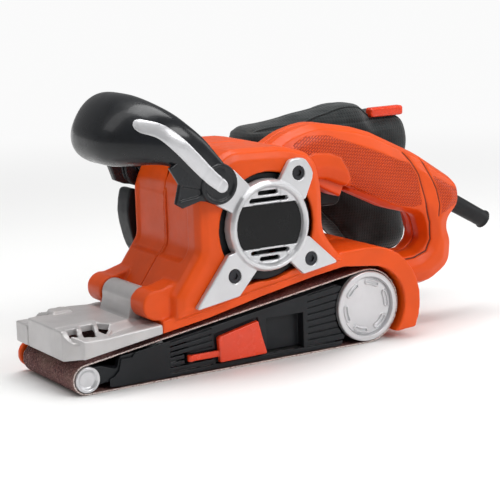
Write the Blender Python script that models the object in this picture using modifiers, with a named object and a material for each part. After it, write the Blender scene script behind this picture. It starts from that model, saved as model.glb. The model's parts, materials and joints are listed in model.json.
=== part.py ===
"""Handheld belt sander for 76 x 533 mm belts, built as its real sub-parts.

Frame: the sanding plane (belt underside) is z = 0, the nose points to -X, the grip is at +X,
the open belt side faces -Y and the drive side faces +Y. x = 0 lies midway between the rollers.
Outlines are side views, given in millimetres as (x, z, corner radius).
"""
import math

import bmesh
import bpy
from mathutils import Matrix, Vector

MM = 0.001

# Driving dimensions, in millimetres
BELT_WIDTH = 76.0
BELT_LENGTH = 533.0
BELT_THICKNESS = 1.2
DRUM_RADIUS = 24.3
ROLLER_RADIUS = 8.4
GAP = 0.3
MOTOR = (21.0, 93.5)
HANDLE_PIVOT = (-18.0, 125.0)
NOSE_HINGE = (-56.0, 50.0)
TRIGGER_PIVOT = (79.0, 122.0)
LEVER_PIVOT = (-33.0, -38.2)
LOCK_BUTTON = (119.0, 120.0)
TRACKING_KNOB = (-72.0, 17.0)
BLOCK_NEAR = -48.0
BLOCK_FAR = 44.0
SKIRT_NEAR = -43.0
SKIRT_FAR = 46.0
GRIP_HALF_WIDTH = 18.0
WALL = 3.2
SPRING_HEIGHT = 15.5
DRIVE_RATIO = 2.4

# Belt path: both rollers stand on the inner side of the belt's lower run
DRUM_BELT = DRUM_RADIUS + GAP
ROLLER_BELT = ROLLER_RADIUS + GAP


def axle_distance():
    """Distance between the axles at which the belt's length closes around both rollers."""
    drum = DRUM_BELT + BELT_THICKNESS / 2
    roller = ROLLER_BELT + BELT_THICKNESS / 2
    distance = 200.0
    for _ in range(30):
        lean = math.asin((drum - roller) / distance)
        straight = math.sqrt(distance ** 2 - (drum - roller) ** 2)
        length = 2 * straight + math.pi * (drum + roller) + 2 * lean * (drum - roller)
        distance += (BELT_LENGTH - length) / 2
    return distance


AXLES = axle_distance()
RISE = DRUM_BELT - ROLLER_BELT
HALF_SPAN = math.sqrt(AXLES ** 2 - RISE ** 2) / 2
DRUM = (HALF_SPAN, BELT_THICKNESS + DRUM_BELT)
ROLLER = (-HALF_SPAN, BELT_THICKNESS + ROLLER_BELT)
TOP_SLOPE = 2 * math.asin(RISE / AXLES)


def belt_top(x):
    """Height of the belt's upper surface over x, between the two rollers."""
    radius = DRUM_BELT + BELT_THICKNESS
    start_x = DRUM[0] - radius * math.sin(TOP_SLOPE)
    start_z = DRUM[1] + radius * math.cos(TOP_SLOPE)
    return start_z + (x - start_x) * math.tan(TOP_SLOPE)


# ---------------------------------------------------------------- scene and materials

for old in list(bpy.data.objects):
    bpy.data.objects.remove(old, do_unlink=True)

PARTS = bpy.data.collections.new("belt_sander")
CUTTERS = bpy.data.collections.new("cutters")
for group in (PARTS, CUTTERS):
    bpy.context.scene.collection.children.link(group)


def material(name, colour, roughness, metallic=0.0):
    mat = bpy.data.materials.new(name)
    mat.use_nodes = True
    shader = mat.node_tree.nodes["Principled BSDF"]
    shader.inputs["Base Color"].default_value = (*colour, 1.0)
    shader.inputs["Roughness"].default_value = roughness
    shader.inputs["Metallic"].default_value = metallic
    mat.diffuse_color = (*colour, 1.0)
    return mat


ORANGE = material("orange_plastic", (0.87, 0.10, 0.02), 0.42)
LEVER_ORANGE = material("lever_plastic", (0.84, 0.06, 0.01), 0.40)
SILVER = material("silver_plastic", (0.62, 0.62, 0.64), 0.38, 0.2)
NOSE_GREY = material("nose_metal", (0.42, 0.41, 0.42), 0.35, 0.6)
BLACK = material("black_plastic", (0.02, 0.022, 0.026), 0.40)
LABEL = material("label_black", (0.012, 0.012, 0.014), 0.25)
SOFT_BLACK = material("black_rubber", (0.018, 0.019, 0.021), 0.70)
GRIT = material("abrasive_belt", (0.13, 0.045, 0.035), 0.95)
FABRIC = material("bag_fabric", (0.022, 0.027, 0.028), 0.95)
STEEL = material("steel", (0.55, 0.55, 0.56), 0.30, 1.0)
DARK_STEEL = material("dark_steel", (0.06, 0.06, 0.065), 0.35, 1.0)
ALUMINIUM = material("aluminium", (0.66, 0.67, 0.68), 0.32, 1.0)
COPPER = material("copper", (0.72, 0.34, 0.18), 0.35, 1.0)
BRASS = material("brass", (0.70, 0.50, 0.20), 0.30, 1.0)
GRAPHITE = material("graphite_pad", (0.05, 0.05, 0.05), 0.80)


# ---------------------------------------------------------------- modelling helpers

def round_corners(corners, step=18.0):
    """Turns (x, z, radius) corners into outline points, with each corner as an arc."""
    points = []
    for i, (x, z, radius) in enumerate(corners):
        corner = Vector((x, z))
        back = Vector(corners[i - 1][:2]) - corner
        ahead = Vector(corners[(i + 1) % len(corners)][:2]) - corner
        opening = back.angle(ahead)
        reach = min(radius / math.tan(opening / 2), 0.48 * back.length, 0.48 * ahead.length)
        if radius <= 0 or math.pi - opening < math.radians(3):
            points.append((x, z))
            continue
        radius = reach * math.tan(opening / 2)
        middle = (back.normalized() + ahead.normalized()).normalized()
        centre = corner + middle * (radius / math.sin(opening / 2))
        first = corner + back.normalized() * reach - centre
        last = corner + ahead.normalized() * reach - centre
        turn = first.angle_signed(last)
        count = max(1, math.ceil(abs(math.degrees(turn)) / step))
        for k in range(count + 1):
            ray = first.copy()
            ray.rotate(Matrix.Rotation(-turn * k / count, 2))
            points.append(tuple(centre + ray))
    return points


def arc(centre, radius, start, end, step=12.0):
    """Points on an arc about centre, from start to end in degrees."""
    count = max(2, math.ceil(abs(end - start) / step))
    angles = [math.radians(start + (end - start) * k / count) for k in range(count + 1)]
    return [(centre[0] + radius * math.cos(a), centre[1] + radius * math.sin(a)) for a in angles]


def signed_area(points):
    pairs = zip(points, points[1:] + points[:1])
    return sum(a[0] * b[1] - b[0] * a[1] for a, b in pairs) / 2


def add_object(name, mesh, mat, is_part=True):
    obj = bpy.data.objects.new(name, mesh)
    (PARTS if is_part else CUTTERS).objects.link(obj)
    if is_part:
        mesh.materials.clear()
        mesh.materials.append(mat)
        mesh.shade_smooth()
        mesh.set_sharp_from_angle(angle=math.radians(35))
    else:
        obj.hide_render = True
        obj.display_type = "WIRE"
    return obj


def baked_mesh(obj):
    """The evaluated mesh of a curve or a modified object, with its loose caps welded."""
    depsgraph = bpy.context.evaluated_depsgraph_get()
    mesh = bpy.data.meshes.new_from_object(obj.evaluated_get(depsgraph))
    shell = bmesh.new()
    shell.from_mesh(mesh)
    bmesh.ops.remove_doubles(shell, verts=shell.verts, dist=1e-6)
    bmesh.ops.dissolve_degenerate(shell, edges=shell.edges, dist=1e-7)
    bmesh.ops.recalc_face_normals(shell, faces=shell.faces)
    shell.to_mesh(mesh)
    shell.free()
    return mesh


def plate(name, outlines, near, far, mat=None, edge=0.0, is_part=True):
    """A flat outline in side view, from y = near to y = far, its rims rounded by edge."""
    outlines = outlines if isinstance(outlines[0], list) else [outlines]
    curve = bpy.data.curves.new(name, "CURVE")
    curve.dimensions = "2D"
    curve.fill_mode = "BOTH"
    curve.extrude = ((far - near) / 2 - edge) * MM
    curve.bevel_depth = edge * MM
    curve.bevel_resolution = 1
    curve.offset = -edge * MM
    for index, points in enumerate(outlines):
        if (signed_area(points) > 0) != (index == 0):
            points = points[::-1]
        spline = curve.splines.new("POLY")
        spline.points.add(len(points) - 1)
        for point, (x, z) in zip(spline.points, points):
            point.co = (x * MM, z * MM, 0.0, 1.0)
        spline.use_cyclic_u = True
    flat = bpy.data.objects.new(name + "_outline", curve)
    CUTTERS.objects.link(flat)
    obj = add_object(name, baked_mesh(flat), mat, is_part)
    bpy.data.objects.remove(flat, do_unlink=True)
    obj.rotation_euler = (math.pi / 2, 0.0, 0.0)
    obj.location = (0.0, (near + far) / 2 * MM, 0.0)
    return obj


def turned(name, profile, centre, mat=None, steps=28, is_part=True):
    """A part turned about a Y axis; profile is (radius, y), from near to far down its outer side."""
    mesh = bpy.data.meshes.new(name)
    loop = bmesh.new()
    verts = [loop.verts.new((radius * MM, 0.0, -y * MM)) for radius, y in profile]
    closed = profile[0][0] > 0
    for a, b in zip(verts, verts[1:] + (verts[:1] if closed else [])):
        loop.edges.new((a, b))
    loop.to_mesh(mesh)
    loop.free()
    obj = add_object(name, mesh, mat, is_part)
    screw = obj.modifiers.new("turn", "SCREW")
    screw.steps = steps
    screw.render_steps = steps
    screw.use_merge_vertices = True
    screw.merge_threshold = 0.00001
    screw.use_smooth_shade = True
    baked = baked_mesh(obj)
    obj.modifiers.clear()
    obj.data = baked
    if is_part:
        baked.set_sharp_from_angle(angle=math.radians(35))
    obj.rotation_euler = (math.pi / 2, 0.0, 0.0)
    obj.location = (centre[0] * MM, 0.0, centre[1] * MM)
    return obj


def rod(name, radius, near, far, centre, mat=None, steps=20, is_part=True):
    """A plain cylinder along Y."""
    profile = [(0.0, near), (radius, near), (radius, far), (0.0, far)]
    return turned(name, profile, centre, mat, steps, is_part)


def tube(name, outer, inner, near, far, centre, mat=None, steps=24, is_part=True):
    """A plain ring along Y."""
    profile = [(inner, near), (outer, near), (outer, far), (inner, far)]
    return turned(name, profile, centre, mat, steps, is_part)


def box(name, low, high, mat=None, edge=0.0, is_part=True):
    """A box between two corners given in millimetres, with optional bevelled edges."""
    mesh = bpy.data.meshes.new(name)
    shell = bmesh.new()
    bmesh.ops.create_cube(shell, size=1.0)
    size = Vector(high) - Vector(low)
    bmesh.ops.scale(shell, vec=size * MM, verts=shell.verts)
    if edge > 0:
        bmesh.ops.bevel(shell, geom=list(shell.edges), offset=edge * MM, segments=2, profile=0.5,
                        affect="EDGES")
    shell.to_mesh(mesh)
    shell.free()
    obj = add_object(name, mesh, mat, is_part)
    obj.location = (Vector(low) + Vector(high)) / 2 * MM
    return obj


def loft(name, rings, mat=None, is_part=True):
    """A closed skin through rings of points, each ring the same length, capped at both ends."""
    mesh = bpy.data.meshes.new(name)
    skin = bmesh.new()
    rows = [[skin.verts.new(Vector(point) * MM) for point in ring] for ring in rings]
    for row, following in zip(rows, rows[1:]):
        for k in range(len(row)):
            after = (k + 1) % len(row)
            skin.faces.new((row[k], row[after], following[after], following[k]))
    skin.faces.new(rows[0][::-1])
    skin.faces.new(rows[-1])
    bmesh.ops.recalc_face_normals(skin, faces=skin.faces)
    skin.to_mesh(mesh)
    skin.free()
    return add_object(name, mesh, mat, is_part)


def boolean(target, tool, operation="DIFFERENCE"):
    """Cuts target by tool, or joins them, and keeps tool as a hidden guide."""
    if tool.name in PARTS.objects:
        PARTS.objects.unlink(tool)
        CUTTERS.objects.link(tool)
        tool.hide_render = True
        tool.display_type = "WIRE"
    step = target.modifiers.new(operation.lower(), "BOOLEAN")
    step.operation = operation
    step.solver = "EXACT"
    step.object = tool


def cut(target, *tools):
    for tool in tools:
        boolean(target, tool)


def join(target, *tools):
    for tool in tools:
        boolean(target, tool, "UNION")


def pivot(name, x, y, z, pieces):
    """An empty on a joint's axis that carries the pieces which move on it."""
    empty = bpy.data.objects.new(name, None)
    PARTS.objects.link(empty)
    empty.location = (x * MM, y * MM, z * MM)
    empty.empty_display_size = 0.01
    place = Matrix.Translation(empty.location)
    for piece in pieces:
        piece.parent = empty
        piece.matrix_parent_inverse = place.inverted()
    return empty


# ---------------------------------------------------------------- housing outlines

MOTOR_BLOCK = [(-47, 38, 0), (-47, 55, 0), (-28, 81, 10), (-28, 114, 8), (-20, 134, 14),
               (-2, 143.5, 16), (38, 142, 30), (62, 135, 16), (67, 112, 24), (67, 84, 20),
               (84, 61, 0), (60, 57, 0), (15, 50, 0), (-28, 41, 0)]
MOTOR_SPACE = [(-42, 49, 0), (-24, 77, 0), (-24, 112, 4), (-16, 130, 8), (0, 139, 8), (38, 137.5, 10),
               (58, 131, 8), (62.5, 112, 10), (62.5, 82, 10), (66, 66, 0), (15, 56, 0), (-28, 48, 0)]
GRIP = [(50, 104, 0), (46, 136, 0), (62, 145, 24), (84, 150.5, 40), (124, 143, 60), (170, 121, 60),
        (204.5, 98.5, 14), (206, 82, 13), (193.5, 70, 12), (198, 58, 14), (196.5, 39, 16), (177, 27.5, 20),
        (135, 27, 0), (131, 50.5, 0), (146, 52, 12), (165, 53, 9), (174, 60, 9), (169, 78, 8),
        (147, 84, 30), (104, 104.5, 14), (90, 110, 14), (76, 111, 0)]
HANDLE_SPACE = [(56, 114, 0), (56, 130, 0), (72, 137, 4), (90, 142, 6), (124, 134, 8), (160, 118, 8),
                (187, 102.5, 5), (196.5, 95, 3), (192.5, 86.5, 3), (160, 89, 6), (130, 99, 6), (109, 109, 3),
                (104, 130, 3), (72, 132, 3)]
RECESS_RADIUS = 35.5
SKIRT_INNER_RADIUS = 28.3
SKIRT_OUTER_RADIUS = 41.5


def skirt_outline():
    """The flared skirt that follows the belt's upper run and wraps over the drum."""
    under = [(x, belt_top(x) + clear) for x, clear in ((-54, 4.2), (-20, 4.4), (20, 6.8), (60, 8.2), (84, 8.0))]
    around = arc(DRUM, SKIRT_INNER_RADIUS, 88, -45)
    outside = arc(DRUM, SKIRT_OUTER_RADIUS, -27, 90)
    back = [(84, 67.0), (48, 60.5), (16, 55.5), (-8, 49.5), (-30, 45.0), (-54, 40.2)]
    return under + around + outside + back


def far_wall_outline():
    """The side wall on the drive side, from a rounded tip at the roller to the skirt's tail."""
    tip = arc((ROLLER[0] - 1.5, 11.5), 9.0, 115, 270)
    low = [(0, 2.5), (DRUM[0], 2.5)]
    tail = arc(DRUM, 38.0, -35, 60)
    return tip + low + tail + [(84, 58), (0, 46), (-54, 36.5), (-54, 30), (-84, 25)]


# ---------------------------------------------------------------- housing

def relief_axis():
    """Root and direction of the cable's strain relief, in the parting plane."""
    root = Vector((199.5, 0.0, 86.0))
    direction = Vector((0.872, 0.0, -0.489)).normalized()
    return root, direction


def along_relief(obj):
    """Stands a part made along Z on the strain relief's axis."""
    root, direction = relief_axis()
    obj.rotation_euler = direction.to_track_quat("Z", "Y").to_euler()
    obj.location = root * MM


def cone_z(name, low_radius, high_radius, low, high, mat=None, steps=20, is_part=True):
    """A cylinder or cone along its own Z axis."""
    mesh = bpy.data.meshes.new(name)
    shell = bmesh.new()
    bmesh.ops.create_cone(shell, cap_ends=True, segments=steps, radius1=low_radius * MM,
                          radius2=high_radius * MM, depth=(high - low) * MM)
    bmesh.ops.translate(shell, verts=shell.verts, vec=(0, 0, (low + high) / 2 * MM))
    shell.to_mesh(mesh)
    shell.free()
    return add_object(name, mesh, mat, is_part)


def make_housing():
    """Both clamshell halves: one outer form, hollowed, then parted at y = 0."""
    form = plate("housing_form", round_corners(MOTOR_BLOCK), BLOCK_NEAR, BLOCK_FAR, edge=7.0, is_part=False)
    grip = plate("grip_form", round_corners(GRIP), -GRIP_HALF_WIDTH, GRIP_HALF_WIDTH, edge=11.0,
                 is_part=False)
    skirt = plate("skirt_form", skirt_outline(), SKIRT_NEAR, SKIRT_FAR, is_part=False)
    wall = plate("far_wall_form", far_wall_outline(), 40.5, SKIRT_FAR - 1.1, is_part=False)
    ears = []
    for side, near, far in (("near", -40, -21), ("far", 21, 40)):
        ear = rod("ear_" + side, 9.8, near, far, NOSE_HINGE, is_part=False)
        web = [(-55, 59.2), (-38, 64), (-38, 41.5), (-52.5, 41.0)]
        ears += [ear, plate("ear_web_" + side, web, near + 0.4, far - 0.4, is_part=False)]
    join(form, grip, skirt, wall, *ears)

    space = plate("motor_space", round_corners(MOTOR_SPACE), BLOCK_NEAR + WALL, BLOCK_FAR - WALL,
                  is_part=False)
    grip_space = plate("grip_space", round_corners(HANDLE_SPACE), -12, 12, is_part=False)
    recess = rod("cover_recess", RECESS_RADIUS, -60, -40, (22, 92), steps=40, is_part=False)
    recess_foot = plate("recess_foot", [(4, 70), (0, 54.5), (46, 62.5), (48, 70)], -60, -40, is_part=False)
    barrel_room = rod("barrel_room", 9.3, -20.8, 20.8, NOSE_HINGE, steps=28, is_part=False)
    trigger_room = plate("trigger_room", [(70, 100), (70, 132), (96, 132), (111, 122), (112.5, 92)],
                         -11, 11, is_part=False)
    button_bore = rod("button_bore", 5.4, 5, 30, LOCK_BUTTON, is_part=False)
    relief_bore = cone_z("relief_bore", 6.9, 6.9, -8, 30, is_part=False)
    along_relief(relief_bore)
    flange_room = cone_z("flange_room", 8.6, 8.6, -6.4, -2.4, is_part=False)
    along_relief(flange_room)
    pinion_hole = rod("pinion_hole", 9.6, 36, 60, MOTOR, is_part=False)
    drum_hole = rod("drum_hole", 9.6, 36, 60, DRUM, is_part=False)
    port_hole = box("port_hole", (58, 27, 90), (76, 40, 107), is_part=False)
    ear_bore = rod("ear_bore", 2.8, -35, 35, NOSE_HINGE, steps=16, is_part=False)
    knob_hole = rod("knob_hole", 3.0, 36, 60, TRACKING_KNOB, steps=16, is_part=False)
    pin_hole = rod("pivot_pin_hole", 4.3, -60, 60, HANDLE_PIVOT, is_part=False)
    cut(form, space, grip_space, recess, recess_foot, barrel_room, trigger_room, button_bore, relief_bore, flange_room,
        pinion_hole, drum_hole, port_hole, ear_bore, knob_hole, pin_hole)
    for name, spot in COVER_SCREWS.items():
        cut(form, rod(name + "_hole", 2.3, -60, -35, spot, steps=12, is_part=False))
    for number, spot in enumerate(DRIVE_SCREWS):
        cut(form, rod("drive_screw_hole_%d" % number, 2.0, 35, 60, spot, steps=12, is_part=False))

    whole = baked_mesh(form)
    whole.transform(form.matrix_basis)
    halves = []
    for side, low, high in (("near", -0.15, 90), ("far", -90, 0.15)):
        half = add_object("housing_" + side, whole.copy(), ORANGE)
        cut(half, box("parting_" + side, (-200, low, -50), (300, high, 250), is_part=False))
        halves.append(half)
    return halves


# ---------------------------------------------------------------- motor cover

COVER_SCREWS = {
    "cover_screw_top": (44.0, 125.0),
    "cover_screw_rear": (52.0, 68.0),
    "cover_screw_front": (-6.0, 64.0),
}
DRIVE_SCREWS = [(-17.0, 84.0), (54.0, 106.0), (62.0, 34.0)]
ARM_BACK = BLOCK_NEAR - GAP
ARM_FACE = -52.6
COVER_ARMS = {
    "upper_front": [(7, 121, 0), (-7, 135, 6), (-28, 124, 6), (-16, 110, 6), (-5, 104, 0), (10, 100, 0)],
    "upper_rear": [(30, 122, 0), (38, 134, 4), (49, 135, 7), (56, 124, 7), (49, 108, 0), (30, 100, 0)],
    "lower_rear": [(51, 83, 0), (73, 63, 1), (46, 58.5, 1), (36, 68, 0), (30, 84, 0)],
    "lower_front": [(-10, 78, 0), (-35, 45.5, 1), (-3, 50.5, 1), (11, 66, 0), (14, 84, 0)],
}


def make_motor_cover():
    """The silver cover: a rimmed disc over the motor with four arms out to the housing."""
    profile = [(0, -51.6), (24.5, -51.6), (25.2, -54), (26.6, -55.4), (28.2, -55), (29.6, -52.5),
               (30.2, -46), (27, -46), (26.5, -48.6), (0, -48.6)]
    cover = turned("motor_cover", profile, MOTOR, SILVER, steps=32)
    for name, corners in COVER_ARMS.items():
        join(cover, plate("arm_" + name, round_corners(corners, 30), ARM_FACE, ARM_BACK,
                          is_part=False))
    badge_seat = plate("badge_seat", badge_outline(GAP), -60, -50.6, is_part=False)
    cut(cover, badge_seat)
    for row, (offset, half) in enumerate(((21.3, 7.5), (16.8, 14.5), (-16.8, 14.5), (-21.3, 7.5))):
        x, z = MOTOR[0], MOTOR[1] + offset
        slot = [(x - half, z - 1.4, 1.3), (x + half, z - 1.4, 1.3), (x + half, z + 1.4, 1.3),
                (x - half, z + 1.4, 1.3)]
        cut(cover, plate("vent_%d" % row, round_corners(slot, 45), -60, -40, is_part=False))
    for name, spot in COVER_SCREWS.items():
        cut(cover, turned(name + "_seat", [(0, -60), (4.7, -60), (4.7, -50.2), (2.4, -50.2), (2.4, -40),
                                           (0, -40)], spot, steps=20, is_part=False))
    cut(cover, rod("cover_pin_hole", 4.3, -60, -40, HANDLE_PIVOT, is_part=False))
    return cover


def badge_outline(grow=0.0):
    """A disc cut flat above and below, between the two groups of vents."""
    radius, height = 24.0 + grow, 13.6 + grow
    lean = math.degrees(math.asin(height / radius))
    right = arc(MOTOR, radius, -lean, lean)
    return right + arc(MOTOR, radius, 180 - lean, 180 + lean)


def make_cover_screw(name, spot):
    """A socket-head screw in its seat."""
    screw = turned(name, [(0, -52.2), (3.9, -52.2), (4.4, -51.8), (4.4, -50.5), (2.0, -50.5), (2.0, -43),
                          (0, -43)], spot, DARK_STEEL, steps=20)
    cut(screw, rod(name + "_socket", 2.3, -56, -51.0, spot, steps=6, is_part=False))
    return screw


def make_end_shield():
    """The black motor end shield seen in the recess round the cover's disc."""
    shield = turned("motor_end_shield", [(9.6, -44.4), (35.0, -44.4), (35.0, -41.4), (12.5, -41.4),
                                         (12.5, -30), (9.6, -30)], (22, 92), BLACK, steps=40)
    foot = plate("shield_foot", [(5, 72), (1.5, 56), (45, 63.7), (46.5, 72)], -44.4, -41.4, is_part=False)
    join(shield, foot)
    cut(shield, rod("shield_bore", 9.6, -60, -20, MOTOR, is_part=False))
    for number, angle in enumerate((20, 65, 110, 155, 200, 245, 290, 335)):
        x = MOTOR[0] + 21 * math.cos(math.radians(angle))
        z = MOTOR[1] + 21 * math.sin(math.radians(angle))
        cut(shield, rod("shield_vent_%d" % number, 3.2, -50, -38, (x, z), steps=10, is_part=False))
    return shield


# ---------------------------------------------------------------- motor and drive

def make_motor():
    """Stator, brush holders and bearings, which stand still."""
    tube("motor_stator", 31, 19.5, -20, 18, MOTOR, DARK_STEEL)
    for name, near_z, far_z in (("brush_holder_upper", 9.6, 24), ("brush_holder_lower", -24, -9.6)):
        box(name, (MOTOR[0] - 4, -29.4, MOTOR[1] + near_z), (MOTOR[0] + 4, -21.6, MOTOR[1] + far_z), BRASS)
    tube("motor_bearing_near", 9.3, 4.3, -38, -31.2, MOTOR, STEEL, steps=20)
    tube("motor_bearing_far", 9.3, 4.3, 39, 45.4, MOTOR, STEEL, steps=20)
    tube("drum_bearing", 9.3, 5.3, 39.2, 45.4, DRUM, STEEL, steps=20)


def make_armature():
    """Everything on the motor's shaft."""
    shaft = rod("armature_shaft", 4.0, -37, 58, MOTOR, STEEL, steps=16)
    bore = rod("armature_bore", 4.25, -60, 70, MOTOR, steps=16, is_part=False)
    core = rod("armature_core", 19.0, -18, 17, MOTOR, DARK_STEEL, steps=24)
    commutator = rod("commutator", 9.0, -30, -20, MOTOR, COPPER, steps=24)
    fan = turned("cooling_fan", [(0, 22), (9, 22), (9, 24), (29, 24), (29, 26), (9, 26), (9, 34), (0, 34)],
                 MOTOR, BLACK, steps=24)
    for number in range(9):
        angle = math.radians(40 * number)
        blade = box("fan_blade_%d" % number, (10, -1, -34), (28, 1, -25.5), is_part=False)
        turn = Matrix.Rotation(angle, 4, "Z") @ Matrix.Translation(blade.location)
        lay = Matrix.Translation((MOTOR[0] * MM, 0, MOTOR[1] * MM)) @ Matrix.Rotation(math.pi / 2, 4, "X")
        blade.matrix_basis = lay @ turn
        join(fan, blade)
    pinion = rod("drive_pinion", 7.2, 49, 57.6, MOTOR, STEEL, steps=20)
    for piece in (core, commutator, fan, pinion):
        cut(piece, bore)
    pivot("armature_axis", MOTOR[0], 0, MOTOR[1], [shaft, core, commutator, fan, pinion])


def make_drum():
    """The driven rear drum with its cap, rubber sleeve, shaft and pulley."""
    core = turned("drive_drum", [(6, -30), (8, -30), (8, -24), (20, -24), (20, -35.5), (22.6, -35.5),
                                 (22.6, 37), (20, 37), (20, 30), (8, 30), (8, 36), (6, 36)], DRUM,
                  ALUMINIUM, steps=32)
    sleeve = tube("drum_sleeve", DRUM_RADIUS, 22.9, -35.5, 37, DRUM, SOFT_BLACK, steps=40)
    cap = turned("drum_cap", [(0, -35.4), (16.4, -36.3), (18.4, -35.6), (20.8, -38.2), (23.0, -39.2),
                              (24.2, -38.6), (24.2, -36.0), (19.6, -36.0), (18.6, -34.0), (0, -33.0)],
                 DRUM, SILVER, steps=40)
    for number in range(6):
        angle = math.radians(60 * number + 25)
        lug = box("cap_lug_%d" % number, (14.6, -3.4, 34.5), (17.4, 3.4, 37.6), is_part=False)
        turn = Matrix.Rotation(angle, 4, "Z") @ Matrix.Translation(lug.location)
        lay = Matrix.Translation((DRUM[0] * MM, 0, DRUM[1] * MM)) @ Matrix.Rotation(math.pi / 2, 4, "X")
        lug.matrix_basis = lay @ turn
        join(cap, lug)
    shaft = rod("drum_shaft", 5.0, -31, 58, DRUM, STEEL, steps=16)
    pulley = turned("driven_pulley", [(5.3, 48.6), (18.6, 48.6), (18.6, 49.6), (DRIVE_RATIO * 7.2, 49.6),
                                      (DRIVE_RATIO * 7.2, 57.8), (5.3, 57.8)], DRUM, BLACK, steps=32)
    pivot("drum_axis", DRUM[0], 0, DRUM[1], [core, sleeve, cap, shaft, pulley])


def loop_outline(first, first_radius, second, second_radius):
    """The outline of a belt around two rollers, second to the right of or below first."""
    span = Vector(second) - Vector(first)
    heading = math.degrees(math.atan2(span.y, span.x))
    lean = math.degrees(math.asin((second_radius - first_radius) / span.length))
    left = arc(first, first_radius, heading + 90 + lean, heading + 270 - lean)
    right = arc(second, second_radius, heading - 90 - lean, heading + 90 + lean)
    return left + right


def make_belts():
    """The sanding belt, and the toothed belt that drives the drum."""
    outer = loop_outline(ROLLER, ROLLER_BELT + BELT_THICKNESS, DRUM, DRUM_BELT + BELT_THICKNESS)
    inner = loop_outline(ROLLER, ROLLER_BELT, DRUM, DRUM_BELT)
    plate("sanding_belt", [outer, inner], -BELT_WIDTH / 2, BELT_WIDTH / 2, GRIT)
    pulley = DRIVE_RATIO * 7.2 + GAP
    outer = loop_outline(MOTOR, 7.5 + 1.8, DRUM, pulley + 1.8)
    inner = loop_outline(MOTOR, 7.5, DRUM, pulley)
    plate("timing_belt", [outer, inner], 50, 57.2, SOFT_BLACK)


DRIVE_COVER = [(-27, 112, 3), (-31, 95, 40), (-25, 70, 30), (-6, 46, 12), (84, 6, 14), (122, 3.5, 18),
               (134, 28, 18), (118, 58, 10), (64, 106, 14), (44, 126, 14), (16, 130, 6), (-4, 111, 4),
               (-16, 108, 4)]


def make_drive_cover():
    """The black cover over the toothed belt, hollow towards the housing."""
    outline = round_corners(DRIVE_COVER)
    cover = plate("drive_cover", outline, SKIRT_FAR + GAP, 64, BLACK, edge=3.0)
    flat = plate("cover_back_cut", round_corners([(-60, 0, 0), (-60, 150, 0), (180, 150, 0), (180, 0, 0)]),
                 40, SKIRT_FAR + 3.0, is_part=False)
    cut(cover, flat)
    rim = plate("cover_rim", outline, SKIRT_FAR + GAP, SKIRT_FAR + 5, is_part=False)
    join(cover, rim)
    inside = loop_outline(MOTOR, 14, DRUM, 24)
    cut(cover, plate("cover_space", inside, 40, 61, is_part=False))
    for number, spot in enumerate(DRIVE_SCREWS):
        cut(cover, turned("drive_seat_%d" % number, [(0, 40), (2.2, 40), (2.2, 60), (3.8, 60), (3.8, 70), (0, 70)],
                          spot, steps=16, is_part=False))
        turned("drive_cover_screw_%d" % (number + 1),
               [(0, 42), (1.8, 42), (1.8, 60.3), (3.5, 60.3), (3.5, 63.0), (0, 63.0)], spot, DARK_STEEL,
               steps=16)
    return cover


# ---------------------------------------------------------------- belt frame, platen, roller and lever

def under_belt(x, clear):
    """Height below the belt's upper run by clear."""
    return belt_top(x) - BELT_THICKNESS - clear


def make_frame():
    """The frame inside the belt's loop, the platen below it and the ribbed side cover."""
    outer = [(-58, 5.5), (78, 5.5), (78, under_belt(78, 1.5)), (-58, under_belt(-58, 1.5))]
    inner = [(-70, 9), (74, 9), (74, under_belt(74, 5)), (-70, under_belt(-70, 5))]
    frame = plate("belt_frame", outer, -28.2, 40.2, ALUMINIUM)
    cut(frame, plate("frame_space", inner, -40, 35, is_part=False))
    box("platen_plate", (-80, -36, 3.8), (80, 36, 5.2), STEEL)
    box("platen_pad", (-82, -36, 1.5), (82, 36, 3.5), GRAPHITE)

    rear = arc(DRUM, DRUM_BELT + 1.2, 225, 140)
    cover = plate("side_frame", [(-48, 5.6), *rear, (-48, under_belt(-48, 0.8))], -37.6, -28.6, BLACK)
    lip = plate("side_frame_lip", [(-48, 1.9), (84, 1.9), (86, 7), (-48, 7)], -37.6, -36.4, is_part=False)
    join(cover, lip)
    cut(cover, box("yoke_room", (-60, -36.2, 0), (-34, -20, 23.5), is_part=False))
    cut(cover, box("finger_recess", (25, -60, 5), (54, -30.6, 29), is_part=False))
    pad_room = plate("lever_room", round_corners(grown_pad()), -60, -36.2, is_part=False)
    tongue_room = box("tongue_room", (-36.5, -60, 9), (-8, -35.6, 15), is_part=False)
    cut(cover, pad_room, tongue_room)
    for number in range(5):
        z = 6.5 + 7.0 * number
        for x0, x1 in ((-48, -36), (55, 100)):
            slope = 0.075 * (x1 - x0)
            shift = 0.075 * (x0 + 48)
            groove = [(x0 - 1, z + shift), (x1, z + shift + slope), (x1, z + shift + slope + 1.0),
                      (x0 - 1, z + shift + 1.0)]
            if z + shift < under_belt(x0, 5):
                cut(cover, plate("groove_%d_%d" % (number, x0), groove, -60, -36.9, is_part=False))
    return cover


LEVER_PAD = [(-12, 6, 1), (-13, 23, 2), (17.5, 29.5, 1), (20.5, 18, 0), (24, 6.5, 1)]


def grown_pad():
    """The lever's pad with clearance all round."""
    return [(-13.5, 5.2, 1), (-14.5, 24.5, 2), (18.5, 31, 1), (21.6, 18, 0), (25.4, 5.2, 1)]


def make_lever():
    """The belt-release lever: a pad on a thin tongue that swings outwards."""
    lever = plate("belt_lever", round_corners(LEVER_PAD), -40.6, -36.6, LEVER_ORANGE, edge=0.8)
    tongue = box("lever_tongue", (LEVER_PIVOT[0], -39.4, 10.0), (-10, -37.0, 14.0), is_part=False)
    knuckle = cone_z("lever_knuckle", 2.0, 2.0, 10.0, 14.0, steps=16, is_part=False)
    knuckle.location = (LEVER_PIVOT[0] * MM, LEVER_PIVOT[1] * MM, 0)
    join(lever, tongue, knuckle)
    pivot("lever_axis", LEVER_PIVOT[0], LEVER_PIVOT[1], 12, [lever])


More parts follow.
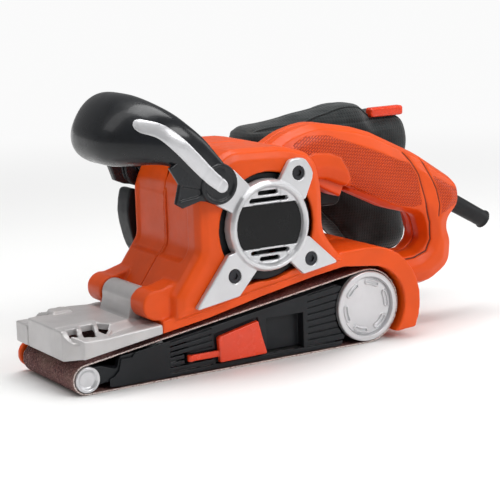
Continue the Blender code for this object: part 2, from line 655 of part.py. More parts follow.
def make_roller():
    """The front roller on its axle, and the sprung yoke that carries it."""
    roller = tube("front_roller", ROLLER_RADIUS, 3.3, -30.4, 32.4, ROLLER, STEEL, steps=28)
    axle = rod("roller_axle", 3.0, -36.2, 37.4, ROLLER, DARK_STEEL, steps=16)
    cap = turned("roller_cap", [(0, -36.8), (5.0, -37.2), (6.6, -38.6), (8.0, -38.8), (8.3, -38.2),
                                (8.3, -36.5), (0, -36.5)], ROLLER, SILVER, steps=28)
    pivot("roller_axis", ROLLER[0], 0, ROLLER[1], [roller, axle, cap])

    x, z = ROLLER
    near_arm = round_corners([(x - 7, z + 7, 6.8), (x + 10, z + 7, 2), (-84, 13, 2), (-82, 21, 3),
                              (-57, 22.5, 1), (-57, 5.8, 0), (-92, 5.6, 1), (x - 3, z - 7, 3)])
    yoke = plate("roller_yoke", near_arm, -35.8, -30.8, BLACK)
    far_arm = round_corners([(x - 6.5, z + 6.5, 6), (-84, z + 6.5, 2), (-84, 6.2, 0), (x - 3, z - 6.5, 3)])
    bar = box("yoke_bar", (-92, -33, 6.4), (-84, 36, 14.4), is_part=False)
    stem = box("yoke_stem", (-88, -6, SPRING_HEIGHT - 3), (-43, 6, SPRING_HEIGHT + 3), is_part=False)
    join(yoke, plate("yoke_far_arm", far_arm, 32.8, 37, is_part=False), bar, stem)
    cut(yoke, rod("yoke_bore", 3.4, -60, 60, ROLLER, steps=16, is_part=False))

    spring = tension_spring()
    pivot("yoke_slide", -60, 0, SPRING_HEIGHT, [yoke, spring])


def tension_spring():
    """The compression spring that pushes the yoke and roller forwards."""
    turns, radius, wire = 5, 4.5, 0.7
    start, length = -41.9, 20.0
    curve = bpy.data.curves.new("tension_spring", "CURVE")
    curve.dimensions = "3D"
    curve.bevel_depth = wire * MM
    curve.bevel_resolution = 1
    curve.use_fill_caps = True
    spline = curve.splines.new("POLY")
    count = turns * 10
    spline.points.add(count)
    for k, point in enumerate(spline.points):
        angle = 2 * math.pi * turns * k / count
        spot = (start + length * k / count, radius * math.cos(angle),
                SPRING_HEIGHT + radius * math.sin(angle))
        point.co = (*(Vector(spot) * MM), 1.0)
    coil = bpy.data.objects.new("spring_path", curve)
    CUTTERS.objects.link(coil)
    spring = add_object("tension_spring", baked_mesh(coil), STEEL)
    bpy.data.objects.remove(coil, do_unlink=True)
    return spring


def make_tracking_knob():
    """The knob that trims the belt's tracking, on the drive side's wall."""
    profile = [(0, 54), (7.5, 54), (8, 53.2), (8, 47), (2.6, 46.3), (2.6, 38.6), (0, 38.6)][::-1]
    knob = turned("tracking_knob", profile, TRACKING_KNOB, LEVER_ORANGE, steps=20)
    pivot("knob_axis", TRACKING_KNOB[0], 50, TRACKING_KNOB[1], [knob])


# ---------------------------------------------------------------- nose cover

def make_nose_cover():
    """The grey hood over the belt's front end, hinged between the housing's ears."""
    side = [(-119.5, 19), (-119.5, 35.5), (-116.5, 37), (-54.6, 39.2), (-54.6, 32.0), (-107, 24.6), (-112, 19)]
    hood = plate("nose_cover", side, -44, 44, NOSE_GREY)
    hump = plate("nose_hump", [(-118, 34), (-116.5, 39.6), (-112, 41), (-78, 42.2), (-72, 40.0), (-70, 35)],
                 -31, 31, edge=1.5, is_part=False)
    join(hood, hump)
    inside = [(-117, 10), (-117, 34.3), (-75, 36.5), (-50, 37.0), (-50, 10)]
    cut(hood, plate("nose_space", inside, -41.4, 41.4, is_part=False))
    for side_name, sign in (("near", -1), ("far", 1)):
        corner = box("nose_corner_" + side_name, (-20, -20, -60), (20, 20, 60), is_part=False)
        corner.location = (-131.5 * MM, sign * 51.0 * MM, 30 * MM)
        corner.rotation_euler = (0, 0, sign * math.radians(36))
        cut(hood, corner)
        windows = (((-110.5, 14, 25), (-101.5, 29, 60)), ((-98.5, 12, 25), (-92, 37, 60)),
                   ((-89, 14, 25), (-83, 31, 60)))
        for number, (low, high) in enumerate(windows):
            low_y, high_y = sorted((sign * low[1], sign * high[1]))
            cut(hood, box("window_%s_%d" % (side_name, number), (low[0], low_y, low[2]),
                          (high[0], high_y, high[2]), is_part=False))
    x, z = NOSE_HINGE
    barrel = rod("nose_barrel", 8.6, -20.4, 20.4, NOSE_HINGE, steps=28, is_part=False)
    strap = plate("nose_strap", [(x - 11, 38.0), (x - 8.3, z + 2), (x, z), (x + 1.2, 38.0)], -20, 20,
                  is_part=False)
    join(hood, barrel, strap)
    cut(hood, rod("barrel_bore", 2.8, -30, 30, NOSE_HINGE, steps=16, is_part=False))
    pivot("nose_axis", x, 0, z, [hood])
    rod("nose_hinge_pin", 2.5, -34, 34, NOSE_HINGE, STEEL, steps=16)


# ---------------------------------------------------------------- front handle

HANDLE_MIDDLE = (BLOCK_NEAR + BLOCK_FAR) / 2
HANDLE_LEAN = math.radians(147.85)
# Half of the loop: distance along the arm, rise above it, distance from the middle plane,
# half height and half width of the section
HANDLE_SECTIONS = [(0, 0, 53.6, 12.4, 2.4), (12, 4, 53.2, 12.5, 2.8), (23, 7.4, 51.8, 12.8, 4.4),
                   (33.5, 8.8, 48.6, 14.0, 8.0), (42.5, 8.2, 42.0, 16.8, 11.8), (50, 6.4, 31.5, 20, 14.8),
                   (55.5, 4.8, 16.5, 22.8, 16.4), (57, 4.5, 0, 23.2, 16.8)]


def handle_point(along, rise, y):
    """A point given along the handle's arm, above it and across the tool."""
    arm = Vector((math.cos(HANDLE_LEAN), 0, math.sin(HANDLE_LEAN)))
    up = Vector((math.sin(HANDLE_LEAN), 0, -math.cos(HANDLE_LEAN)))
    origin = Vector((HANDLE_PIVOT[0], 0, HANDLE_PIVOT[1]))
    return origin + arm * along + up * rise + Vector((0, y, 0))


def handle_path():
    """Centres and half sizes of all sections, from the near hub round to the far hub."""
    near = [(a, r, HANDLE_MIDDLE - y, h, w) for a, r, y, h, w in HANDLE_SECTIONS]
    far = [(a, r, HANDLE_MIDDLE + y, h, w) for a, r, y, h, w in HANDLE_SECTIONS[-2::-1]]
    return near + far


def make_front_handle():
    """The black front handle: two hubs and arms with a round grip across the front."""
    up = handle_point(0, 1, 0) - handle_point(0, 0, 0)
    path = handle_path()
    centres = [handle_point(a, r, y) for a, r, y, _, _ in path]
    rings = []
    for k, (_, _, _, height, width) in enumerate(path):
        before, after = centres[max(k - 1, 0)], centres[min(k + 1, len(path) - 1)]
        across = up.cross((after - before).normalized()).normalized()
        ring = []
        for j in range(14):
            angle = 2 * math.pi * j / 14
            ring.append(centres[k] + up * height * math.cos(angle) + across * width * math.sin(angle))
        rings.append(ring)
    handle = loft("front_handle", rings, BLACK)
    near_hub = rod("near_hub", 13.2, -58.4, -53.2, HANDLE_PIVOT, steps=28, is_part=False)
    far_hub = rod("far_hub", 13.2, BLOCK_FAR + 0.6, 54.2, HANDLE_PIVOT, steps=28, is_part=False)
    tab = [(-52, 138, 2), (-46, 127, 2), (-49, 115, 2), (-43, 111.5, 2), (-31, 115, 3), (-16, 112, 0),
           (-16, 126, 0), (-38, 146, 0)]
    near_tab = plate("near_tab", round_corners(tab), -56, -53.2, is_part=False)
    join(handle, near_hub, far_hub, near_tab)
    cut(handle, rod("near_hub_bore", 4.3, -56.4, -40, HANDLE_PIVOT, is_part=False),
        rod("far_hub_bore", 4.3, 40, 52.4, HANDLE_PIVOT, is_part=False))
    rod("handle_pin_near", 4.0, -56, -43.5, HANDLE_PIVOT, STEEL, steps=16)
    rod("handle_pin_far", 4.0, 39.5, 52, HANDLE_PIVOT, STEEL, steps=16)
    inlays = [make_inlay("handle_inlay_near", -1), make_inlay("handle_inlay_far", 1)]
    pivot("handle_axis", HANDLE_PIVOT[0], HANDLE_MIDDLE, HANDLE_PIVOT[1], [handle, *inlays])


def make_inlay(name, sign):
    """The silver strip laid along the outer face of one arm."""
    stations = [(-9, 2.5, 57.4, 3.4), (-2, 3.4, 57.4, 5.2), (12, 6.4, 57.4, 5.4), (24, 8.8, 57.4, 5.4),
                (34, 9.8, 58.0, 5.3), (44, 9.4, 56.2, 4.8), (52, 8.4, 51.4, 3.6)]
    rings = []
    for k, (along, rise, y, half) in enumerate(stations):
        centre = handle_point(along, rise, HANDLE_MIDDLE + sign * y)
        before = Vector(stations[max(k - 1, 0)][:3])
        after = Vector(stations[min(k + 1, len(stations) - 1)][:3])
        run = after - before
        out = handle_point(run.z, 0, sign * run.x) - handle_point(0, 0, 0)
        out = out.normalized() * 0.7
        up = (handle_point(0, 1, 0) - handle_point(0, 0, 0)) * half
        rings.append([centre - up - out, centre - up + out, centre + up + out, centre + up - out])
    return loft(name, rings, SILVER)


# ---------------------------------------------------------------- grip controls and cable relief

TRIGGER = [(74, 117, 2), (74.5, 126, 3), (88, 127, 6), (98, 121, 6), (106.5, 113, 4), (108, 105, 2),
           (104.5, 97.5, 0.8), (92, 104, 20), (83, 109, 6), (76, 111, 3)]


def make_controls():
    trigger = plate("trigger", round_corners(TRIGGER), -10.5, 10.5, ORANGE, edge=2.0)
    pivot("trigger_axis", TRIGGER_PIVOT[0], 0, TRIGGER_PIVOT[1], [trigger])
    button = turned("lock_button", [(0, 9.6), (6.4, 9.6), (6.4, 11.6), (5.0, 11.6), (5.0, 20.4), (4.2, 21.4),
                                    (0, 21.8)], LOCK_BUTTON, BLACK, steps=20)
    pivot("button_slide", LOCK_BUTTON[0], 18, LOCK_BUTTON[1], [button])
    box("switch_body", (109.5, -10, 112), (134, 5.8, 129), BLACK, edge=1.0)

    relief = cone_z("strain_relief", 6.5, 6.0, -3, 42, SOFT_BLACK, steps=24)
    along_relief(relief)
    for name, low_radius, high_radius, low, high in (
            ("relief_collar", 6.1, 7.0, 40, 42.5), ("relief_flange", 8.2, 8.2, -6, -2.8)):
        ring = cone_z(name, low_radius, high_radius, low, high, steps=24, is_part=False)
        along_relief(ring)
        join(relief, ring)
    bore = cone_z("relief_cable_bore", 3.6, 3.6, -20, 60, steps=16, is_part=False)
    along_relief(bore)
    cut(relief, bore)


# ---------------------------------------------------------------- dust port and bag

BAG = [(68, 122, 6), (67, 142, 7), (112, 146.5, 20), (164, 156, 16), (178, 147, 8), (204, 145, 10),
       (211, 128, 16), (206, 44, 8), (194, 36, 8), (160, 44, 12), (118, 82, 20), (90, 100, 14)]
MOUTH = (100, 88.5, 124, 110)


def make_dust_path():
    """The duct from the fan to the bag's mouth, and the bag with its collar and clip."""
    duct = plate("dust_port", round_corners([(67.8, 87, 3), (127, 85.5, 6), (128, 113, 6), (67.8, 111, 3)]),
                 22.5, 44.6, BLACK, edge=2.0)
    x0, z0, x1, z1 = MOUTH
    cut(duct, box("duct_space", (60, 27, 91), (123, 41, 107), is_part=False))
    cut(duct, box("duct_mouth", (x0 + 1, 36, z0 + 1), (x1 - 1, 60, z1 - 1), is_part=False))

    collar = box("bag_collar", (x0 - 3.5, 44.9, z0 - 3.5), (x1 + 3.5, 48.4, z1 + 3.5), BLACK, edge=0.8)
    spigot = box("collar_spigot", (x0 + 1.6, 41.3, z0 + 1.6), (x1 - 1.6, 46, z1 - 1.6), is_part=False)
    join(collar, spigot)
    cut(collar, box("collar_bore", (x0 + 3.4, 30, z0 + 3.4), (x1 - 3.4, 60, z1 - 3.4), is_part=False))

    bag = plate("dust_bag", round_corners(BAG), 48.7, 84, FABRIC, edge=8.0)
    cut(bag, box("bag_bore", (x0 + 3.4, 40, z0 + 3.4), (x1 - 3.4, 70, z1 - 3.4), is_part=False))
    cut(bag, box("clip_notch", (173, 40, 140.6), (220, 57.4, 160), is_part=False))
    clip = box("bag_clip", (173.6, 49, 141), (202.6, 57, 148), LEVER_ORANGE, edge=1.6)
    pivot("bag_slide", 112, 45, 99, [bag, collar])
    pivot("clip_slide", 188, 53, 144, [clip])


# ---------------------------------------------------------------- assembly

def main():
    make_housing()
    make_motor_cover()
    plate("cover_badge", badge_outline(), -52.2, -50.9, LABEL)
    for name, spot in COVER_SCREWS.items():
        make_cover_screw(name, spot)
    make_end_shield()
    make_motor()
    make_armature()
    make_drum()
    make_belts()
    make_drive_cover()
    make_frame()
    make_lever()
    make_roller()
    make_tracking_knob()
    make_nose_cover()
    make_front_handle()
    make_controls()
    make_dust_path()


main()
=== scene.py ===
import json
import math

import bmesh
import bpy
import numpy as np
import openvdb
from mathutils import Matrix, Vector
from mathutils.bvhtree import BVHTree


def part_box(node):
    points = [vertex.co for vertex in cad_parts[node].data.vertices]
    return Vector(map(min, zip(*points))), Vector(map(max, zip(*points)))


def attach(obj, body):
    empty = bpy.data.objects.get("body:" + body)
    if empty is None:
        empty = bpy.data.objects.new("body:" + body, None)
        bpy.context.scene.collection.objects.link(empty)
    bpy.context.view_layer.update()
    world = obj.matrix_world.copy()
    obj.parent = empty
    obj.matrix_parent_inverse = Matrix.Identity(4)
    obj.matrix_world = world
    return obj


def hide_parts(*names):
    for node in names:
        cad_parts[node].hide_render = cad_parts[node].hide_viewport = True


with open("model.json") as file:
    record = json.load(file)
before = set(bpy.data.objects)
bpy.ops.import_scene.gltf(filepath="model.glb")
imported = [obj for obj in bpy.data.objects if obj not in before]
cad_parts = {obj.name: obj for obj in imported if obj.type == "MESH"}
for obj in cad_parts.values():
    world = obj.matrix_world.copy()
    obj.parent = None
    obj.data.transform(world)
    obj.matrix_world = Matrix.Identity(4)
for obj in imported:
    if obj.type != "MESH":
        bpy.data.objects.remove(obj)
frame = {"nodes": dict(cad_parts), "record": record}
NODES = frame["nodes"]
SLOT_OF = {part["node"]: part["material_slot"] for part in frame["record"]["subparts"]}
BODY_OF = {n: body for body, names in frame["record"]["behaviour"]["bodies"].items() for n in names}
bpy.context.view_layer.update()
MM = 0.001
AXLE_X = 105.556
DRUM_AT = (AXLE_X, 25.8)
ROLLER_AT = (-AXLE_X, 9.9)


# ---------------------------------------------------------------- materials
class Shader:
    """A Principled material and short ways to add nodes to it. Lengths are in metres."""

    def __init__(self, name, **constants):
        self.material = bpy.data.materials.new(name)
        self.material.use_nodes = True
        self.tree = self.material.node_tree
        self.bsdf = self.tree.nodes["Principled BSDF"]
        for key, value in constants.items():
            self.bsdf.inputs[key.replace("_", " ")].default_value = value
        self.place = self.node("ShaderNodeTexCoord").outputs["Object"]

    def node(self, kind, settings=None, **inputs):
        made = self.tree.nodes.new(kind)
        for key, value in (settings or {}).items():
            setattr(made, key, value)
        for key, value in inputs.items():
            name = key.replace("_", " ")
            numbered = name[0] == "i" and name[1:].isdigit()
            socket = made.inputs[int(name[1:]) if numbered else name]
            self.feed(socket, value)
        return made

    def feed(self, socket, value):
        if isinstance(value, bpy.types.NodeSocket):
            self.tree.links.new(value, socket)
        elif socket.type == "RGBA" and len(value) == 3:
            socket.default_value = (*value, 1)
        else:
            socket.default_value = value

    def math(self, operation, a, b=0.0):
        return self.node("ShaderNodeMath", {"operation": operation}, i0=a, i1=b).outputs[0]

    def vector(self, operation, a, b=(0, 0, 0), out=0):
        return self.node("ShaderNodeVectorMath", {"operation": operation}, i0=a, i1=b).outputs[out]

    def noise(self, size, detail=3.0, rough=0.55, place=None):
        made = self.node("ShaderNodeTexNoise", Scale=1 / size, Detail=detail, Roughness=rough,
                         Vector=place or self.place)
        return made.outputs["Fac"]

    def spread(self, value, low, high, to_low=0.0, to_high=1.0):
        made = self.node("ShaderNodeMapRange", {"interpolation_type": "SMOOTHSTEP"},
                         Value=value, From_Min=low, From_Max=high, To_Min=to_low, To_Max=to_high)
        return made.outputs[0]

    def mix(self, factor, a, b, blend="MIX"):
        made = self.node("ShaderNodeMix", {"data_type": "RGBA", "blend_type": blend})
        self.feed(made.inputs[0], factor)
        self.feed(made.inputs[6], a)
        self.feed(made.inputs[7], b)
        return made.outputs[2]

    def worn(self, width=0.06):
        """1 on proud edges, from the surface's own curvature."""
        point = self.node("ShaderNodeNewGeometry").outputs["Pointiness"]
        return self.spread(point, 0.5 + width, 0.5 + 3 * width)

    def colour(self, value):
        self.feed(self.bsdf.inputs["Base Color"], value)

    def rough(self, value):
        self.feed(self.bsdf.inputs["Roughness"], value)

    def bump(self, height, depth, strength=1.0, below=None):
        made = self.node("ShaderNodeBump", Height=height, Distance=depth, Strength=strength)
        if below is not None:
            self.feed(made.inputs["Normal"], below)
        self.feed(self.bsdf.inputs["Normal"], made.outputs[0])
        return made.outputs[0]


def shade(rgb, factor):
    return tuple(min(1.0, c * factor) for c in rgb)


def surface(name, rgb, rough, grain, depth, vary=0.10, worn_rgb=None, dust=0.0, **constants):
    """A moulded, cast or painted surface: mottled colour, uneven gloss, a fine grain and worn edges."""
    s = Shader(name, **constants)
    cloud = s.noise(22 * MM, 4)
    colour = s.mix(s.spread(cloud, 0.3, 0.7), shade(rgb, 1 - vary), shade(rgb, 1 + vary))
    speck = s.noise(1.3 * MM, 2)
    colour = s.mix(s.spread(speck, 0.55, 0.85, 0, 0.35), colour, shade(rgb, 1 + 2 * vary))
    if dust:
        film = s.math("MULTIPLY", s.spread(s.noise(9 * MM, 6), 0.45, 0.75), dust)
        colour = s.mix(film, colour, (0.62, 0.52, 0.40))
    if worn_rgb:
        edge = s.math("MULTIPLY", s.worn(), s.spread(s.noise(3 * MM, 5), 0.35, 0.6))
        colour = s.mix(s.math("MULTIPLY", edge, 0.6), colour, worn_rgb)
    s.colour(colour)
    s.rough(s.spread(s.noise(7 * MM, 5), 0.25, 0.75, rough * 0.85, rough * 1.2))
    s.bump(s.noise(grain, 3, 0.6), depth)
    return s


def make_materials():
    made = {}
    orange = (0.70, 0.074, 0.006)
    made["orange_plastic"] = surface("orange_plastic", orange, 0.36, 0.5 * MM, 0.02 * MM, 0.05,
                                     shade(orange, 1.25), Specular_IOR_Level=0.45)
    made["lever_plastic"] = surface("lever_plastic", (0.70, 0.045, 0.008), 0.25, 0.7 * MM, 0.01 * MM, 0.05,
                                    Specular_IOR_Level=0.5)
    made["silver_plastic"] = surface("silver_plastic", (0.60, 0.60, 0.615), 0.33, 0.25 * MM, 0.012 * MM,
                                     0.04, (0.45, 0.45, 0.46), Metallic=0.55)
    made["nose_metal"] = surface("nose_metal", (0.50, 0.485, 0.485), 0.38, 0.45 * MM, 0.03 * MM, 0.06,
                                 (0.66, 0.65, 0.64), dust=0.05, Metallic=0.35)
    made["black_plastic"] = surface("black_plastic", (0.0085, 0.0098, 0.012), 0.42, 0.5 * MM, 0.025 * MM,
                                    0.2, (0.03, 0.03, 0.034), Specular_IOR_Level=0.28)
    made["handle_black"] = surface("handle_black", (0.005, 0.006, 0.008), 0.3, 0.9 * MM, 0.006 * MM, 0.2,
                                   Specular_IOR_Level=0.3, Coat_Weight=0.22, Coat_Roughness=0.1)
    made["label"] = surface("label", (0.003, 0.003, 0.0035), 0.3, 0.8 * MM, 0.004 * MM, 0.2,
                            Specular_IOR_Level=0.25)
    made["black_rubber"] = surface("black_rubber", (0.007, 0.0075, 0.009), 0.5, 0.6 * MM, 0.03 * MM, 0.25,
                                   Specular_IOR_Level=0.3)
    made["bag_fabric"] = surface("bag_fabric", (0.018, 0.023, 0.023), 0.8, 0.6 * MM, 0.06 * MM, 0.25)
    made["abrasive"] = surface("abrasive", (0.16, 0.06, 0.05), 0.85, 0.35 * MM, 0.12 * MM, 0.3)
    made["steel"] = surface("steel", (0.55, 0.55, 0.56), 0.25, 0.4 * MM, 0.006 * MM, 0.06, Metallic=1.0)
    made["dark_steel"] = surface("dark_steel", (0.035, 0.035, 0.04), 0.34, 0.4 * MM, 0.01 * MM, 0.2,
                                 (0.2, 0.2, 0.2), Metallic=0.8)
    made["aluminium"] = surface("aluminium", (0.58, 0.59, 0.60), 0.38, 0.5 * MM, 0.02 * MM, 0.06,
                                Metallic=0.9)
    made["copper_brass"] = surface("copper_brass", (0.62, 0.33, 0.12), 0.3, 0.5 * MM, 0.01 * MM, 0.08,
                                   Metallic=1.0)
    made["graphite"] = surface("graphite", (0.03, 0.03, 0.032), 0.5, 0.5 * MM, 0.02 * MM, 0.3)
    return {name: s.material for name, s in made.items()}


MATERIALS = make_materials()


def paint(piece, material):
    piece.data.materials.clear()
    piece.data.materials.append(material)
    for face in piece.data.polygons:
        face.material_index = 0


# ---------------------------------------------------------------- mesh helpers
def soften_normals(piece, angle=35):
    for face in piece.data.polygons:
        face.use_smooth = True
    piece.data.set_sharp_from_angle(angle=math.radians(angle))


def evaluated(piece):
    """The piece's mesh with its modifiers, as a new mesh."""
    graph = bpy.context.evaluated_depsgraph_get()
    return bpy.data.meshes.new_from_object(piece.evaluated_get(graph))


def points_of(mesh):
    flat = np.zeros(len(mesh.vertices) * 3)
    mesh.vertices.foreach_get("co", flat)
    return flat.reshape(-1, 3)


def set_points(mesh, points):
    mesh.vertices.foreach_set("co", points.astype(np.float32).ravel())
    mesh.update()


def relaxed(mesh, rounds, share=0.5):
    """Moves each vertex towards the mean of its neighbours, which rounds the edges."""
    points = points_of(mesh)
    edges = np.zeros(len(mesh.edges) * 2, np.int64)
    mesh.edges.foreach_get("vertices", edges)
    a, b = edges.reshape(-1, 2).T
    count = len(points)
    near = np.bincount(a, minlength=count) + np.bincount(b, minlength=count)
    near = np.maximum(near, 1)[:, None]
    for _ in range(rounds):
        total = np.zeros_like(points)
        for axis in range(3):
            total[:, axis] = np.bincount(a, points[b, axis], count) + np.bincount(b, points[a, axis], count)
        points = points * (1 - share) + share * total / near
    set_points(mesh, points)
    return mesh


def remeshed(node, voxel, rounds):
    """A fine, even, softly rounded copy of a CAD node, which stands for it."""
    copy = bpy.data.objects.new(node + "_form", NODES[node].data.copy())
    bpy.context.scene.collection.objects.link(copy)
    remesh = copy.modifiers.new("remesh", "REMESH")
    remesh.mode = "VOXEL"
    remesh.voxel_size = voxel
    mesh = evaluated(copy)
    copy.modifiers.clear()
    copy.data = mesh
    relaxed(mesh, rounds)
    for face in mesh.polygons:
        face.use_smooth = True
    stand_for(copy, node)
    return copy


def stand_for(piece, node):
    """piece replaces the CAD node, rides on its body and takes its slot's material."""
    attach(piece, BODY_OF[node])
    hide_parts(node)
    paint(piece, MATERIALS[SLOT_OF[node]])
    return piece


# ---------------------------------------------------------------- signed distance fields, in mm
def polygon(u, v, corners):
    """Signed distance to a polygon, negative inside."""
    corners = np.array(corners, np.float32)
    nearest = np.float32(1e9)
    inside = np.float32(1)
    for (ax, ay), (bx, by) in zip(corners, np.roll(corners, -1, axis=0)):
        ex, ey = bx - ax, by - ay
        share = np.clip(((u - ax) * ex + (v - ay) * ey) / (ex * ex + ey * ey), 0, 1)
        nearest = np.minimum(nearest, np.hypot(u - ax - ex * share, v - ay - ey * share))
        over = (ay > v) != (by > v)
        crossing = ax + (v - ay) * ex / (ey if abs(ey) > 1e-6 else 1e-6)
        inside = inside * np.where(over & (u < crossing), -1, 1)
    return nearest * inside


def slab(w, low, high):
    return np.abs(w - (low + high) / 2) - (high - low) / 2


def both(a, b, radius=0.0):
    """Intersection whose convex edge is rounded."""
    a, b = a + radius, b + radius
    return np.minimum(np.maximum(a, b), 0) + np.hypot(np.maximum(a, 0), np.maximum(b, 0)) - radius


def either(a, b, soft=0.01):
    gap = np.maximum(soft - np.abs(a - b), 0) / soft
    return np.minimum(a, b) - gap * gap * soft / 4


def without(a, b, soft=0.01):
    return -either(-a, b, soft)


def disc(u, v, centre, radius):
    return np.hypot(u - centre[0], v - centre[1]) - radius


def ramp(value, low, high):
    share = np.clip((value - low) / (high - low), 0, 1)
    return share * share * (3 - 2 * share)


def sculpt(name, field, low, high, step):
    """The surface where field(x, y, z) is zero, as a new mesh object."""
    axes = [np.arange(low[k] - 2 * step, high[k] + 2.5 * step, step, dtype=np.float32) for k in range(3)]
    x, y, z = np.meshgrid(*axes, indexing="ij", sparse=True)
    samples = np.array(np.broadcast_to(field(x, y, z), [len(a) for a in axes]), np.float32, order="C")
    volume = openvdb.FloatGrid()
    volume.copyFromArray(samples)
    points, triangles, quads = volume.convertToPolygons(isovalue=0.0)
    points = (points * step + np.array([a[0] for a in axes])) * MM
    corner = points[quads]
    turned = np.einsum("ij,ij->i", corner[:, 0], np.cross(corner[:, 1], corner[:, 2])).sum()
    faces = [f.tolist() for f in (quads if turned > 0 else quads[:, ::-1])]
    faces += [f.tolist() for f in (triangles if turned > 0 else triangles[:, ::-1])]
    mesh = bpy.data.meshes.new(name)
    mesh.from_pydata(points.tolist(), [], faces)
    mesh.update()
    piece = bpy.data.objects.new(name, mesh)
    bpy.context.scene.collection.objects.link(piece)
    for face in mesh.polygons:
        face.use_smooth = True
    return piece


# ---------------------------------------------------------------- CAD nodes that stay
for name, piece in NODES.items():
    paint(piece, MATERIALS[SLOT_OF[name]])
    soften_normals(piece)


# ---------------------------------------------------------------- nose cover
NOSE_HINGE = (-56, 50)
NOSE_OUTLINE = [(-119.4, -33.4), (-108.2, -43.9), (-54.7, -43.9), (-54.7, 43.9), (-113, 43.9), (-119.4, 36)]
NOSE_BOSS = [(-118.6, -27.5), (-109.2, -43.9), (-92, -43.9), (-91, -40.5), (-86.4, -36), (-84.6, -32),
             (-85.5, -27), (-92, -20), (-119.4, -22)]
NOSE_RIDGE = [(-103, 13), (-90, 13), (-88, 20), (-90, 27), (-101, 27), (-104, 20)]
NOSE_STRAP = [(-68, 37.6), (-66.4, 41), (-64.8, 47), (-64.3, 52), (-56, 50), (-54.8, 38)]
NOSE_WINDOWS = [[(-115.3, -29.2), (-108.2, -28.7), (-110, -36.2), (-114.2, -34.6)],
                [(-103.6, -25.4), (-95, -25.2), (-99.3, -39.2), (-106.2, -37.6)],
                [(-91.3, -24.9), (-86.2, -31.5), (-91.8, -37.8), (-94.3, -33.7)]]


def nose_field(x, y, z):
    """The cast cover: a hollow shell with a raised boss, windows, a ridge and the hinge strap."""
    outline = polygon(x, y, NOSE_OUTLINE)
    rim = 34.8 + (x + 108) * 0.069
    shelf = 41.6 - 2.4 * ramp(x, -71.5, -67.5)
    edge = 31 - 6 * ramp(x, -90, -60)
    shoulder = ramp(np.abs(y), edge, edge + 7)
    top = shelf + (np.minimum(rim, 39.0) - shelf) * shoulder
    block = ramp(y, 18.0, 19.5) * ramp(-x, 104, 108)
    lobe = 36.6 - 6.0 * np.clip((y - 33) / 11, 0, 1) ** 2
    top = top + (lobe - top) * block
    body = both(outline, z - top, 1.1)
    boss = polygon(x, y, NOSE_BOSS)
    boss = both(boss, z - (41.9 + 0.32 * (y + 24)), 0.5)
    body = either(body, boss, 0.3)
    ridge = both(polygon(x, y, NOSE_RIDGE), z - 43.4, 1.6)
    body = either(body, both(ridge, 36 - z), 1.2)
    body = both(body, 22.7 + (x + 119.5) * 0.149 - z, 0.6)
    ceiling = np.minimum(top - 2.6, 37.4)
    body = without(body, both(outline + 2.4, z - ceiling), 0.4)
    for window in NOSE_WINDOWS:
        body = without(body, both(polygon(x, y, window) - 0.3, 30 - z), 0.5)
        mirrored = [(px, -py) for px, py in window]
        if window[0][0] < -104:
            continue
        body = without(body, both(polygon(x, y, mirrored) - 0.2, 30 - z), 0.5)
    slot = both(slab(y, 16.9, 19.3), x + 104)
    body = without(body, both(slot, np.maximum(-(z - top + 3.0), -10) * np.ones_like(x)), 0.5)
    body = without(body, both(both(slab(y, 17.2, 19.0), x + 118.2), 10 - z), 0.3)
    step = np.hypot(x + 70.5, z - 40.6) - 0.8
    body = without(body, both(step, slab(y, -24, 15)), 0.4)
    strap = both(polygon(x, z, NOSE_STRAP), slab(y, -20, 20), 0.5)
    body = either(body, strap, 1.6)
    body = either(body, both(disc(x, z, NOSE_HINGE, 8.55), slab(y, -20.3, 20.3), 0.4), 0.3)
    return without(body, both(disc(x, z, NOSE_HINGE, 2.8), slab(y, -30, 30)))


nose = sculpt("nose_hood", nose_field, (-120, -44.5, 21), (-47, 44.5, 59), 0.55)
stand_for(nose, "nose_cover")


# ---------------------------------------------------------------- front handle
HUB = (-18.0, 125.0)
LOOP_MIDDLE = -2.0
ARM_LEAN = math.radians(147.85)
ARM = np.array([math.cos(ARM_LEAN), 0, math.sin(ARM_LEAN)])
RISE = np.array([math.sin(ARM_LEAN), 0, -math.cos(ARM_LEAN)])


def loop_point(along, rise, y):
    return np.array([HUB[0], 0, HUB[1]]) + ARM * along + RISE * rise + np.array([0, y, 0])


def curve_through(rows, count):
    """Catmull-Rom points through rows."""
    rows = np.array(rows, float)
    padded = np.vstack([2 * rows[0] - rows[1], rows, 2 * rows[-1] - rows[-2]])
    out = []
    for t in np.linspace(0, len(rows) - 1 - 1e-9, count):
        k = int(t)
        f = t - k
        a, b, c, d = padded[k:k + 4]
        out.append(0.5 * ((2 * b) + (c - a) * f + (2 * a - 5 * b + 4 * c - d) * f * f
                          + (3 * b - a - 3 * c + d) * f ** 3))
    return np.array(out)


def skin(name, rings):
    """A capped tube through equal rings of points, given in mm."""
    rings = np.array(rings)
    count, around = rings.shape[:2]
    points = rings.reshape(-1, 3).tolist()
    faces = []
    for i in range(count - 1):
        for j in range(around):
            k = (j + 1) % around
            faces.append([i * around + j, (i + 1) * around + j, (i + 1) * around + k, i * around + k])
    faces.append(list(range(around)))
    faces.append([(count - 1) * around + j for j in range(around)][::-1])
    mesh = bpy.data.meshes.new(name)
    mesh.from_pydata([tuple(c * MM for c in p) for p in points], [], faces)
    mesh.update()
    piece = bpy.data.objects.new(name, mesh)
    bpy.context.scene.collection.objects.link(piece)
    fix_facing(mesh)
    soften_normals(piece, 50)
    return piece


def fix_facing(mesh):
    """Turns every face outward."""
    made = bmesh.new()
    made.from_mesh(mesh)
    bmesh.ops.recalc_face_normals(made, faces=made.faces)
    made.to_mesh(mesh)
    made.free()
    mesh.update()


